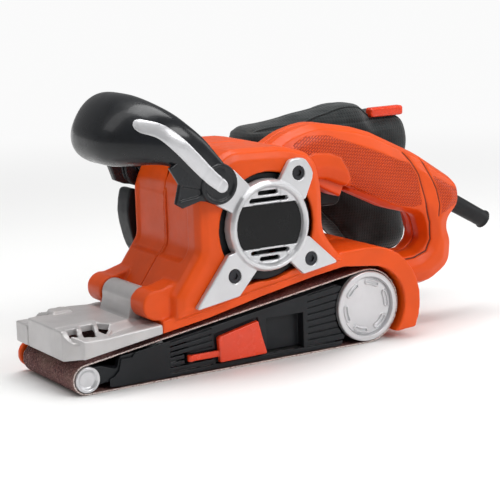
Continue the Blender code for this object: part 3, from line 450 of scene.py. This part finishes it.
# Stations of the near half loop: along the arm, rise, half width in y, then the tube's two half sizes.
LOOP_HALF = [(0, 0, 53.6, 12.2, 2.4), (12, 4, 53.2, 12.4, 2.9), (23, 7.4, 51.8, 12.8, 4.6),
             (33.5, 8.8, 48.4, 14.0, 8.2), (42.5, 8.2, 42.0, 17.0, 12.2), (50, 6.4, 31.5, 20.3, 15.2),
             (55.5, 4.8, 16.5, 23.0, 16.6), (57, 4.5, 0, 23.4, 17.0)]
NEAR_TAB = [(-52, 138), (-45.5, 127.5), (-48.6, 115.4), (-43.5, 112.2), (-31, 115.4), (-16, 112.5),
            (-16, 126), (-38, 146)]
TAB_WELL = [(-44, 126), (-45.6, 117), (-32, 118.6), (-27, 122)]
FAR_TAB = [(-46, 141), (-41, 129), (-37, 117.5), (-30, 114.5), (-16, 112.5), (-16, 126), (-34, 143)]


def make_handle():
    """The handle: a swelling loop swept round LOOP_HALF, with its two hubs and tabs."""
    near = [(a, r, LOOP_MIDDLE - y, h, w) for a, r, y, h, w in LOOP_HALF]
    far = [(a, r, LOOP_MIDDLE + y, h, w) for a, r, y, h, w in LOOP_HALF[-2::-1]]
    stations = curve_through(near + far, 121)
    centres = np.array([loop_point(a, r, y) for a, r, y, _, _ in stations])
    tangents = np.gradient(centres, axis=0)
    rings = []
    for centre, tangent, (_, _, _, height, width) in zip(centres, tangents, stations):
        across = np.cross(RISE, tangent / np.linalg.norm(tangent))
        across /= np.linalg.norm(across)
        angles = np.linspace(0, 2 * np.pi, 56, endpoint=False)
        c, s = np.cos(angles), np.sin(angles)
        power = 2 / 2.25
        ring = (centre + RISE * (height * np.sign(c) * np.abs(c) ** power)[:, None]
                + across * (width * np.sign(s) * np.abs(s) ** power)[:, None])
        rings.append(ring)
    tube = skin("handle_tube", rings)
    stand_for(tube, "front_handle")

    def hubs(x, y, z):
        ring = disc(x, z, HUB, 13.1)
        near_hub = both(ring, slab(y, -58.3, -53.2), 1.2)
        near_hub = without(near_hub, both(disc(x, z, HUB, 10.3) + 0 * y, y + 57.3), 0.5)
        far_hub = both(ring, slab(y, 44.7, 54.1), 1.2)
        plate = both(polygon(x, z, NEAR_TAB), slab(y, -56.3, -53.0), 0.8)
        plate = without(plate, both(polygon(x, z, TAB_WELL), y + 55.2), 0.5)
        far_plate = both(polygon(x, z, FAR_TAB), slab(y, 48.0, 53.4), 0.8)
        bore = disc(x, z, HUB, 4.3)
        solid = either(either(near_hub, plate, 0.8), either(far_hub, far_plate, 0.8))
        return without(solid, both(bore, slab(y, -56.4, 52.4)))

    hub = sculpt("handle_hubs", hubs, (-54, -59, 110), (-3, 55, 147), 0.6)
    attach(hub, "front_handle")
    paint(hub, MATERIALS["handle_black"])
    return tube, hub


handle_tube, handle_hubs = make_handle()


def surface_tree(*pieces):
    """One search tree over the faces of several pieces."""
    points, faces = [], []
    for piece in pieces:
        start = len(points)
        points += [tuple(v.co) for v in piece.data.vertices]
        faces += [tuple(start + i for i in f.vertices) for f in piece.data.polygons]
    return BVHTree.FromPolygons(points, faces)


INLAY_LINE = [(-67.8, 165.0), (-63.5, 164.0), (-55.0, 160.6), (-46.5, 153.0), (-35.5, 141.7),
              (-24.5, 130.4), (-15.8, 123.4), (-12.6, 120.8)]
INLAY_HALF = 4.9


def make_inlay(name, node, sign):
    """A crowned silver strip with round ends, laid on the outer face of one arm."""
    tree = surface_tree(handle_tube, handle_hubs)
    line = curve_through([(x, z, 0) for x, z in INLAY_LINE], 90)[:, :2]
    run = np.concatenate([[0], np.cumsum(np.hypot(*np.diff(line, axis=0).T))])
    tangent = np.gradient(line, axis=0)
    tangent /= np.hypot(*tangent.T)[:, None]
    across = np.stack([-tangent[:, 1], tangent[:, 0]], 1)
    lanes = np.linspace(-1, 1, 15)
    rings, depth = [], -57.0
    for k, spot in enumerate(line):
        to_end = min(run[k], run[-1] - run[k])
        half = INLAY_HALF * (0.82 + 0.18 * math.sin(math.pi * run[k] / run[-1]))
        half *= math.sqrt(max(1 - max(1 - to_end / half, 0) ** 2, 0.0004))
        outer, inner = [], []
        for lane in lanes:
            x, z = spot + across[k] * half * lane
            hit = tree.ray_cast(Vector((x * MM, sign * 0.09, z * MM)), Vector((0, -sign, 0)))[0]
            if hit is not None:
                depth = abs(hit.y / MM - LOOP_MIDDLE)
            crown = 0.25 + 0.75 * math.sqrt(max(1 - lane * lane, 0)) * min(1, to_end / 2)
            outer.append((x, LOOP_MIDDLE + sign * (depth + crown), z))
            inner.append((x, LOOP_MIDDLE + sign * (depth - 0.6), z))
        rings.append(outer + inner[::-1])
    strip = skin(name, rings)
    stand_for(strip, node)
    return strip


make_inlay("inlay_strip_near", "handle_inlay_near", -1)
make_inlay("inlay_strip_far", "handle_inlay_far", 1)


# ---------------------------------------------------------------- housing
GRIP_PEBBLES = [(60, 136.8), (73.5, 142.6), (90.3, 142.1), (110.6, 134.8), (131.3, 127), (148.9, 119.5),
                (158.6, 116.4), (164.4, 107.5), (167.4, 91), (169, 85.5), (162.6, 84.1), (148.2, 87.3),
                (130.6, 95.1), (109.8, 103.3), (108.6, 110.6), (105.8, 116.6), (100, 125.8), (89.9, 130),
                (78.1, 130.6), (68, 126.9), (60, 128)]
KNUCKLE_PEBBLES = [(177.6, 106.2), (194.1, 97), (203, 93), (203, 84), (188.3, 78), (184.5, 77), (185, 84.6),
                   (182, 95.4)]
CHEEK = [(62, 127), (68.0, 126.9), (78.1, 130.6), (89.9, 130.0), (100.0, 125.8), (105.8, 116.6),
         (108.6, 110.6), (105.4, 102.3), (100, 96), (76, 104), (60, 104)]
GRIP_SEAM = [(154, 124), (159.6, 117.6), (165.6, 107.5), (169.8, 94), (172.6, 84.8), (176.2, 72.3),
             (176.8, 60), (172.5, 52.2), (162.3, 48.6), (148, 48.2)]
KNUCKLE_SEAM = [(170, 118), (176.1, 105.6), (181.1, 95.4), (183.9, 84.6), (183, 76.2)]
SEAM_HALF = 0.75
SEAM_DEPTH = 0.8
CHEEK_LIFT = 0.9
PANEL_DEPTH = 2.2


def near_line(x, z, line):
    """Distance from points to an open line, in mm."""
    nearest = np.full(len(x), 1e9)
    for (ax, az), (bx, bz) in zip(line, line[1:]):
        ex, ez = bx - ax, bz - az
        share = np.clip(((x - ax) * ex + (z - az) * ez) / (ex * ex + ez * ez), 0, 1)
        nearest = np.minimum(nearest, np.hypot(x - ax - ex * share, z - az - ez * share))
    return nearest


def vertex_normals(mesh):
    flat = np.zeros(len(mesh.vertices) * 3)
    mesh.vertices.foreach_get("normal", flat)
    return flat.reshape(-1, 3)


def store(mesh, name, values):
    attribute = mesh.attributes.new(name, "FLOAT", "POINT")
    attribute.data.foreach_set("value", np.asarray(values, np.float32))


def detail_housing(piece, side):
    """Cuts the grip's seams, raises the cheek, sinks the front panel and marks the pebbled areas."""
    mesh = piece.data
    points = points_of(mesh) / MM
    normals = vertex_normals(mesh)
    x, y, z = points.T
    on_grip = ((np.abs(y) < 19.5) & (x > 64)).astype(float)
    outer = np.clip(side * normals[:, 1] * 2.5 + 0.35, 0, 1) * on_grip
    seam = np.minimum(near_line(x, z, GRIP_SEAM), near_line(x, z, KNUCKLE_SEAM))
    flat_side = np.clip(side * normals[:, 1] * 4 - 0.6, 0, 1) * on_grip * (np.abs(y) > 3)
    cut = np.exp(-(seam / SEAM_HALF) ** 2) * flat_side
    lift = ramp(-polygon(x, z, CHEEK), -0.6, 0.9) * outer * ramp(x, 66, 70)
    front = ramp(-normals[:, 0], 0.35, 0.75) * ramp(z, 72, 77) * ramp(-z, -122, -114)
    panel = front * (x < 10) * (np.abs(y) < 60) * ramp(-np.abs(y - 3), -36, -32)
    move = -SEAM_DEPTH * cut + CHEEK_LIFT * lift - PANEL_DEPTH * panel
    pebbles = np.minimum(polygon(x, z, GRIP_PEBBLES), polygon(x, z, KNUCKLE_PEBBLES))
    area = ramp(-pebbles, -0.2, 0.9) * outer
    points += normals * move[:, None]
    set_points(mesh, points * MM)
    store(mesh, "pebbles", area)
    # The seam mask also drives the painted shade of the seams in the housing material.
    store(mesh, "seam", cut)
    return piece


housing_near = detail_housing(remeshed("housing_near", 0.7 * MM, 7), -1)
housing_far = detail_housing(remeshed("housing_far", 0.7 * MM, 7), 1)


def housing_material():
    """The orange moulding: satin, with raised dashes where the hand holds it, painted shade in the gaps
    between the dashes and painted shade along its seams.
    """
    orange = (0.69, 0.073, 0.004)
    s = Shader("housing_orange", Specular_IOR_Level=0.27)
    cloud = s.noise(25 * MM, 4)
    colour = s.mix(s.spread(cloud, 0.3, 0.7), shade(orange, 0.95), shade(orange, 1.06))
    colour = s.mix(s.spread(s.noise(0.9 * MM, 2), 0.6, 0.9, 0, 0.25), colour, shade(orange, 1.35))
    edge = s.math("MULTIPLY", s.worn(0.03), s.spread(s.noise(4 * MM, 5), 0.4, 0.65))
    colour = s.mix(s.math("MULTIPLY", edge, 0.35), colour, (0.95, 0.20, 0.06))
    pebbles = s.node("ShaderNodeAttribute", {"attribute_name": "pebbles"}).outputs["Fac"]
    seam = s.node("ShaderNodeAttribute", {"attribute_name": "seam"}).outputs["Fac"]
    turn = s.node("ShaderNodeMapping", Vector=s.place, Rotation=(math.radians(90), 0, 0))
    tilt = s.node("ShaderNodeMapping", Vector=turn.outputs[0], Rotation=(0, 0, math.radians(34)))
    bricks = s.node("ShaderNodeTexBrick", {"offset": 0.5}, Vector=tilt.outputs[0], Scale=1.0,
                    Brick_Width=3.2 * MM, Row_Height=1.5 * MM, Mortar_Size=0.42 * MM, Mortar_Smooth=0.6,
                    Color1=(1, 1, 1), Color2=(1, 1, 1), Mortar=(0, 0, 0))
    raised = s.math("MULTIPLY", s.math("SUBTRACT", bricks.outputs["Color"], 1.0), pebbles)
    # Painted shade: darker orange in the sunk gaps between the raised dashes.
    colour = s.mix(s.math("MULTIPLY", raised, -0.8), colour, (0.36, 0.022, 0.006))
    # Painted shade: near-black along the seam grooves.
    colour = s.mix(s.spread(seam, 0.35, 0.95), colour, (0.05, 0.008, 0.004))
    s.colour(colour)
    s.rough(s.spread(s.noise(6 * MM, 5), 0.25, 0.75, 0.30, 0.44))
    fine = s.bump(s.noise(0.5 * MM, 3), 0.015 * MM)
    s.bump(raised, 0.6 * MM, 1.0, fine)
    return s.material


HOUSING_ORANGE = housing_material()
for piece in (housing_near, housing_far):
    paint(piece, HOUSING_ORANGE)


# ---------------------------------------------------------------- softly rounded mouldings
for node, voxel, rounds in (("motor_cover", 0.45, 2), ("roller_yoke", 0.5, 2), ("belt_lever", 0.4, 3),
                            ("trigger", 0.5, 4), ("roller_cap", 0.3, 2), ("drive_cover", 0.8, 5),
                            ("dust_port", 0.6, 3), ("bag_collar", 0.5, 2), ("tracking_knob", 0.4, 3),
                            ("strain_relief", 0.4, 2), ("bag_clip", 0.4, 2), ("motor_end_shield", 0.5, 2)):
    remeshed(node, voxel * MM, rounds)


# ---------------------------------------------------------------- ribbed side plate
DRUM_ROOM = 25.8
BELT_RISE = 0.1505
PLATE_Y = (-37.4, -28.8)
RIB_FLOOR_Y = -36.3
RIBBED = ((-46.8, -16.2, 7), (57.5, 98, 9))
LEVER_ROOM = [(-13.5, 5.2), (-14.5, 24.5), (18.5, 31), (21.6, 18), (25.4, 5.2)]
APRON = [(-47.4, 1.9), (-47.4, 25.4), (-71.6, 22.1), (-74.0, 19.2), (-81.6, 19.3), (-83.4, 12), (-87, 8.6),
         (-90.2, 7.7), (-90.2, 2.6), (-86, 1.9)]


def under_belt(x):
    """Height of the belt's upper run, on its inner face."""
    return 18.4 + (x + AXLE_X) * BELT_RISE


def frame_field(x, y, z):
    """The side plate: ribbed beside the lever, smooth and stepped in front, ending round the drum."""
    arc = [(DRUM_AT[0] + DRUM_ROOM * math.cos(a), DRUM_AT[1] + DRUM_ROOM * math.sin(a))
           for a in np.radians(np.arange(225, 139, -5))]
    outline = polygon(x, z, [(-48, 5.6), (84, 5.6)] + arc + [(80, 44), (-48, 25.4)])
    outline = both(outline, z - under_belt(x) + 1.0)
    body = both(outline, slab(y, *PLATE_Y), 0.5)
    lip = polygon(x, z, [(-48, 1.9), (84, 1.9), (87, 7), (-48, 7)])
    body = either(body, both(lip, slab(y, -37.4, -36.5), 0.2))
    share = (z - 3.0) / (under_belt(x) - 4.0)
    for low, high, rows in RIBBED:
        pitch = (under_belt(x) - 4.0) / rows
        groove = (np.abs((share * rows) % 1.0 - 0.5) * pitch - 0.42) + 0 * y
        groove = both(both(groove, slab(x, low, high) + 0 * y), slab(y, -40, RIB_FLOOR_Y) + 0 * x)
        body = without(body, groove, 0.15)
    body = without(body, both(slab(x, -60, -34), both(slab(y, -36.2, -20), slab(z, 0, 23.5))))
    body = without(body, both(slab(x, 25, 54), both(slab(y, -60, -30.6), slab(z, 5, 29))), 0.4)
    body = without(body, both(polygon(x, z, LEVER_ROOM), y + 35.9), 0.3)
    body = without(body, both(slab(x, -36.5, -8), both(slab(y, -60, -35.6), slab(z, 9, 15))), 0.2)
    apron = both(polygon(x, z, APRON), z - under_belt(x) + 1.0)
    return either(body, both(apron, slab(y, -37.3, -36.5), 0.25))


side_plate = sculpt("side_plate", frame_field, (-94, -38, 1), (106, -28, 48), 0.42)
stand_for(side_plate, "side_frame")
paint(NODES["platen_plate"], MATERIALS["dark_steel"])


# ---------------------------------------------------------------- sanding belt
def belt_path(count=640):
    """Mid-line of the belt round both drums, with its outward normal."""
    front, rear = np.array(ROLLER_AT), np.array(DRUM_AT)
    small, large = 9.3, 25.2
    span = np.hypot(*(rear - front))
    heading = math.atan2(*(rear - front)[::-1])
    lean = math.asin((large - small) / span)
    up = heading + math.pi / 2 + lean
    down = heading - math.pi / 2 - lean
    turn_front = np.linspace(up, down + 2 * math.pi, 90)
    turn_rear = np.linspace(down, up, 160)
    points, normals = [], []
    for centre, radius, turn in ((front, small, turn_front), (rear, large, turn_rear)):
        for angle in turn:
            normal = np.array([math.cos(angle), math.sin(angle)])
            points.append(centre + radius * normal)
            normals.append(normal)
    points, normals = np.array(points), np.array(normals)
    closed = np.vstack([points, points[:1]])
    run = np.concatenate([[0], np.cumsum(np.hypot(*np.diff(closed, axis=0).T))])
    at = np.linspace(0, run[-1], count, endpoint=False)
    closed_normals = np.vstack([normals, normals[:1]])
    path = np.stack([np.interp(at, run, closed[:, k]) for k in (0, 1)], 1)
    out = np.stack([np.interp(at, run, closed_normals[:, k]) for k in (0, 1)], 1)
    return path, out / np.hypot(*out.T)[:, None]


def make_belt():
    """The sanding belt: a thin loop with slightly frayed edges."""
    draw = np.random.default_rng(11)
    path, out = belt_path()
    count = len(path)
    fray = [np.convolve(np.tile(draw.normal(0, 0.35, count), 3), np.ones(3) / 3, "same")[count:2 * count]
            for _ in range(2)]
    section = [(-37.9, 0.0), (-37.6, 0.42), (-36.8, 0.57), (-30, 0.6), (-15, 0.6), (0, 0.6), (15, 0.6),
               (30, 0.6), (36.8, 0.57), (37.6, 0.42), (37.9, 0.0), (37.6, -0.42), (36.8, -0.57), (20, -0.6),
               (0, -0.6), (-20, -0.6), (-36.8, -0.57), (-37.6, -0.42)]
    points, faces = [], []
    for k in range(count):
        for y, rise in section:
            rim = max(0.0, (abs(y) - 36.5) / 1.4)
            shift = fray[0][k] * rim if y < 0 else fray[1][k] * rim
            shift = min(shift, 0.1) if y > 0 else max(shift, -0.1)
            spot = path[k] + out[k] * rise
            points.append((spot[0] * MM, (y + shift) * MM, spot[1] * MM))
    wide = len(section)
    for k in range(count):
        after = (k + 1) % count
        for j in range(wide):
            step = (j + 1) % wide
            faces.append([k * wide + j, k * wide + step, after * wide + step, after * wide + j])
    mesh = bpy.data.meshes.new("belt_loop")
    mesh.from_pydata(points, [], faces)
    fix_facing(mesh)
    belt = bpy.data.objects.new("belt_loop", mesh)
    bpy.context.scene.collection.objects.link(belt)
    soften_normals(belt, 60)
    stand_for(belt, "sanding_belt")
    s = Shader("belt_grit", Specular_IOR_Level=0.35)
    grit = s.node("ShaderNodeTexVoronoi", Scale=1 / (0.8 * MM), Vector=s.place)
    speckle = s.spread(s.noise(1.6 * MM, 3, 0.8), 0.36, 0.64)
    colour = s.mix(speckle, (0.035, 0.011, 0.013), (0.20, 0.08, 0.072))
    colour = s.mix(s.spread(s.noise(1.1 * MM, 2), 0.6, 0.7), colour, (0.40, 0.22, 0.20))
    colour = s.mix(s.spread(s.noise(30 * MM, 4), 0.45, 0.7, 0, 0.35), colour, (0.30, 0.19, 0.15))
    axes = s.node("ShaderNodeSeparateXYZ", Vector=s.place)
    rim = s.spread(s.math("ABSOLUTE", axes.outputs[1]), 37.0 * MM, 37.5 * MM)
    frayed = s.math("MULTIPLY", rim, s.spread(s.noise(0.9 * MM, 3, 0.7), 0.38, 0.5))
    colour = s.mix(frayed, colour, (0.72, 0.62, 0.58))
    s.colour(colour)
    s.rough(0.8)
    grains = s.math("MULTIPLY", grit.outputs["Distance"], 0.6)
    s.bump(s.math("ADD", grains, s.noise(0.5 * MM, 2)), 0.28 * MM)
    paint(belt, s.material)


make_belt()


# ---------------------------------------------------------------- drum cap
def cap_field(x, y, z):
    """The drum's cap: a dish inside a rim, with six hollow oblong lugs round it."""
    across = np.hypot(x - DRUM_AT[0], z - DRUM_AT[1])
    angle = np.arctan2(z - DRUM_AT[1], x - DRUM_AT[0])
    out = -y - 33.6
    rim = 5.5 * ramp(across, 19.4, 20.6)
    dish = 1.5 + 1.5 * (across / 18.6) ** 2
    height = np.where(across > 19.4, np.maximum(rim, 2.2), dish)
    body = both(across - 24.1, out - height, 1.1)
    body = both(body, -out, 0.2)
    turn = (angle / (math.pi / 3) + 0.3) % 1.0 - 0.5
    arc_run = np.maximum(np.abs(turn) * math.pi / 3 * 16.6 - 4.2, 0)
    lug = np.hypot(arc_run, across - 16.6) - 1.9
    body = either(body, both(lug, slab(out, 0.6, 3.9), 0.5), 0.4)
    return without(body, both(lug + 1.1, -(out - 2.6)), 0.2)


cap = sculpt("drum_cap_dish", cap_field, (81, -39.6, 1.2), (130.2, -33, 50.4), 0.35)
stand_for(cap, "drum_cap")


# ---------------------------------------------------------------- dust bag
WEAVE_SCALE = 1 / (1.1 * MM) / 6.3
BAG_VOXEL = 4.2 * MM
BAG_PRESSURE = 3.0
BAG_FRAMES = 14
BAG_MOST_MOVE = 3.0 * MM
FOLD_DEPTH = 0.85
CLIP_HOLD = ((190, 49, 146), (26, 12, 14))
COLLAR_HOLD = ((98, 47, 99), (26, 7, 14))
BAG_SLACK = 0.7
BINDING_RADIUS = 0.9 * MM
BINDING_POINTS = 260


def puffed(mesh_piece, pressure, frames, most):
    """Lets the fabric swell and settle as cloth; no point moves further than most."""
    start = points_of(mesh_piece.data)
    cloth = mesh_piece.modifiers.new("cloth", "CLOTH")
    cloth.settings.quality = 6
    cloth.settings.mass = 0.25
    cloth.settings.tension_stiffness = 18
    cloth.settings.compression_stiffness = 18
    cloth.settings.bending_stiffness = 0.4
    cloth.settings.use_pressure = True
    cloth.settings.uniform_pressure_force = pressure
    cloth.settings.effector_weights.gravity = 0.0
    cloth.point_cache.frame_start, cloth.point_cache.frame_end = 1, frames
    scene = bpy.context.scene
    for number in range(1, frames + 1):
        scene.frame_set(number)
    mesh = evaluated(mesh_piece)
    end = points_of(mesh)
    scene.frame_set(1)
    mesh_piece.modifiers.clear()
    move = end - start
    length = np.linalg.norm(move, axis=1, keepdims=True)
    move *= np.minimum(1, most / np.maximum(length, 1e-9))
    set_points(mesh_piece.data, start + move)


def fabric_material():
    s = Shader("bag_weave", Sheen_Weight=0.25, Sheen_Roughness=0.5, Specular_IOR_Level=0.2)
    colour = s.mix(s.spread(s.noise(28 * MM, 4), 0.3, 0.7), (0.0075, 0.0105, 0.011), (0.017, 0.022, 0.023))
    warp, weft = (s.node("ShaderNodeTexWave", {"bands_direction": way}, Vector=s.place, Scale=WEAVE_SCALE,
                         Distortion=0.6, Detail=1.0).outputs["Fac"] for way in "XZ")
    weave = s.math("MAXIMUM", warp, weft)
    colour = s.mix(s.spread(weave, 0.6, 1, 0, 0.3), colour, (0.026, 0.033, 0.034))
    colour = s.mix(s.spread(s.noise(12 * MM, 6), 0.55, 0.8, 0, 0.25), colour, (0.10, 0.095, 0.085))
    s.colour(colour)
    s.rough(s.spread(s.noise(10 * MM, 4), 0.3, 0.7, 0.7, 0.92))
    s.bump(s.math("ADD", weave, s.math("MULTIPLY", s.noise(5 * MM, 4), 1.2)), 0.16 * MM)
    return s.material


def make_bag():
    """The slack fabric bag: swollen as cloth, creased, with seam lines pressed in along its edges."""
    fabric = fabric_material()
    low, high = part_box("dust_bag")
    bag = bpy.data.objects.new("bag_body", NODES["dust_bag"].data.copy())
    bpy.context.scene.collection.objects.link(bag)
    shape = bag.modifiers.new("remesh", "REMESH")
    shape.mode = "VOXEL"
    shape.voxel_size = BAG_VOXEL
    bag.data = evaluated(bag)
    bag.modifiers.clear()
    relaxed(bag.data, 3)
    puffed(bag, BAG_PRESSURE, BAG_FRAMES, BAG_MOST_MOVE)
    finer = bag.modifiers.new("finer", "SUBSURF")
    finer.levels = finer.render_levels = 2
    bag.data = evaluated(bag)
    bag.modifiers.clear()
    mesh = bag.data
    points = points_of(mesh) / MM
    normals = vertex_normals(mesh)
    x, y, z = points.T
    middle = (low.y + high.y) / 2 / MM
    side = ramp(np.abs(y - middle), 8, 16)
    fold = np.sin((x * 0.55 + z * 1.0) / 8.5 + 1.2 * np.sin(x / 17.0 + z / 23.0))
    fold += 0.7 * np.sin((x - z * 0.35) / 6.0 + 1.7 * np.sin(z / 13.0))
    fold += 0.5 * np.sin((z * 1.3 + y * 0.4) / 4.3 + 1.1 * np.sin(x / 9.0))
    dent = FOLD_DEPTH * np.sign(fold) * np.abs(fold) ** 0.8 * (0.35 + 0.65 * side)
    crown = ramp(z, 143, 150)
    hem = -0.9 * np.exp(-((y - middle) / 1.1) ** 2) * crown
    hem += -0.8 * np.exp(-((z - 139.5) / 1.0) ** 2) * side
    held = sum(np.exp(-(((points - centre) / reach) ** 2).sum(1))
               for centre, reach in (CLIP_HOLD, COLLAR_HOLD))
    points += normals * ((dent - BAG_SLACK) * (1 - np.clip(held, 0, 1)) + hem)[:, None]
    set_points(mesh, points * MM)
    for face in mesh.polygons:
        face.use_smooth = True
    stand_for(bag, "dust_bag")
    paint(bag, fabric)
    return bag


def make_piping(bag):
    """A rolled binding sewn round both faces of the bag, just inside their edges."""
    tree = surface_tree(bag)
    low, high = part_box("dust_bag")
    middle = (low + high) / 2
    for name, sign in (("bag_piping_near", -1), ("bag_piping_far", 1)):
        centres = []
        for angle in np.linspace(0, 2 * math.pi, BINDING_POINTS, endpoint=False):
            aim = Vector((math.cos(angle), 0, math.sin(angle)))
            level = middle.y + sign * (high.y - low.y) * 0.34
            start = Vector((150 * MM, level, 108 * MM)) + aim * 0.2
            hit = tree.ray_cast(start, -aim)[0]
            if hit is not None:
                centres.append(np.array(hit) / MM)
        centres = np.array(centres)
        for _ in range(6):
            centres = (np.roll(centres, 1, 0) + centres * 2 + np.roll(centres, -1, 0)) / 4
        curve = bpy.data.curves.new(name, "CURVE")
        curve.dimensions = "3D"
        curve.bevel_depth = BINDING_RADIUS
        curve.bevel_resolution = 3
        spline = curve.splines.new("POLY")
        spline.points.add(len(centres) - 1)
        spline.use_cyclic_u = True
        for point, centre in zip(spline.points, centres):
            point.co = (*(centre * MM), 1)
        rope = bpy.data.objects.new(name, curve)
        bpy.context.scene.collection.objects.link(rope)
        mesh = evaluated(rope)
        bpy.data.objects.remove(rope)
        piping = bpy.data.objects.new(name, mesh)
        bpy.context.scene.collection.objects.link(piping)
        for face in mesh.polygons:
            face.use_smooth = True
        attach(piping, "dust_bag")
        paint(piping, bag.data.materials[0])


make_piping(make_bag())


# ---------------------------------------------------------------- stage, light and camera
def make_stage():
    """A pale floor that turns into an even white sweep away from the object."""
    reach = 12.0
    floor_mesh = bpy.data.meshes.new("floor")
    corners = [(-reach, -reach, 0), (reach, -reach, 0), (reach, reach, 0), (-reach, reach, 0)]
    floor_mesh.from_pydata(corners, [], [(0, 1, 2, 3)])
    floor = bpy.data.objects.new("floor", floor_mesh)
    bpy.context.scene.collection.objects.link(floor)
    s = Shader("floor", Specular_IOR_Level=0.15)
    s.colour(s.mix(s.noise(0.3, 2), (0.86, 0.86, 0.855), (0.89, 0.89, 0.885)))
    s.rough(0.8)
    away = s.vector("LENGTH", s.place, out=1)
    glow = s.node("ShaderNodeEmission", Color=(1, 1, 1), Strength=0.96)
    blend = s.node("ShaderNodeMixShader", i0=s.spread(away, 0.25, 1.3), i1=s.bsdf.outputs[0],
                   i2=glow.outputs[0])
    s.tree.links.new(blend.outputs[0], s.tree.nodes["Material Output"].inputs[0])
    paint(floor, s.material)


def area_light(name, place, aim, size, power, tint=(1, 1, 1)):
    light = bpy.data.lights.new(name, "AREA")
    light.shape = "RECTANGLE"
    light.size, light.size_y = size
    light.energy = power
    light.color = tint
    lamp = bpy.data.objects.new(name, light)
    lamp.location = place
    lamp.rotation_euler = (Vector(aim) - Vector(place)).to_track_quat("-Z", "Y").to_euler()
    bpy.context.scene.collection.objects.link(lamp)


def make_lights():
    world = bpy.data.worlds.new("studio")
    bpy.context.scene.world = world
    world.use_nodes = True
    back = world.node_tree.nodes["Background"]
    back.inputs["Color"].default_value = (1.0, 1.0, 1.0, 1)
    back.inputs["Strength"].default_value = 0.29
    aim = (0.03, 0, 0.08)
    area_light("key", (0.45, -1.25, 0.95), aim, (0.9, 0.6), 12)
    area_light("top", (0.0, 0.15, 1.35), aim, (1.3, 0.7), 15)
    area_light("side", (1.3, -0.5, 0.7), aim, (0.5, 0.9), 4)
    area_light("left", (-0.9, 0.4, 1.0), aim, (0.35, 0.8), 1.5)


def make_camera():
    azimuth, elevation, roll = math.radians(-31.09), math.radians(10.91), math.radians(-1.92)
    back = Vector((math.sin(azimuth) * math.cos(elevation), -math.cos(azimuth) * math.cos(elevation),
                   math.sin(elevation)))
    data = bpy.data.cameras.new("camera")
    data.lens = 122.9
    data.sensor_width = 36
    camera = bpy.data.objects.new("camera", data)
    camera.rotation_mode = "QUATERNION"
    turned = Matrix.Rotation(roll, 4, "Z").to_quaternion()
    camera.rotation_quaternion = (-back).to_track_quat("-Z", "Y") @ turned
    camera.location = (-0.5439, -0.9637, 0.2847)
    bpy.context.scene.collection.objects.link(camera)
    bpy.context.scene.camera = camera


make_stage()
make_lights()
make_camera()
bpy.context.scene.view_settings.view_transform = "Standard"
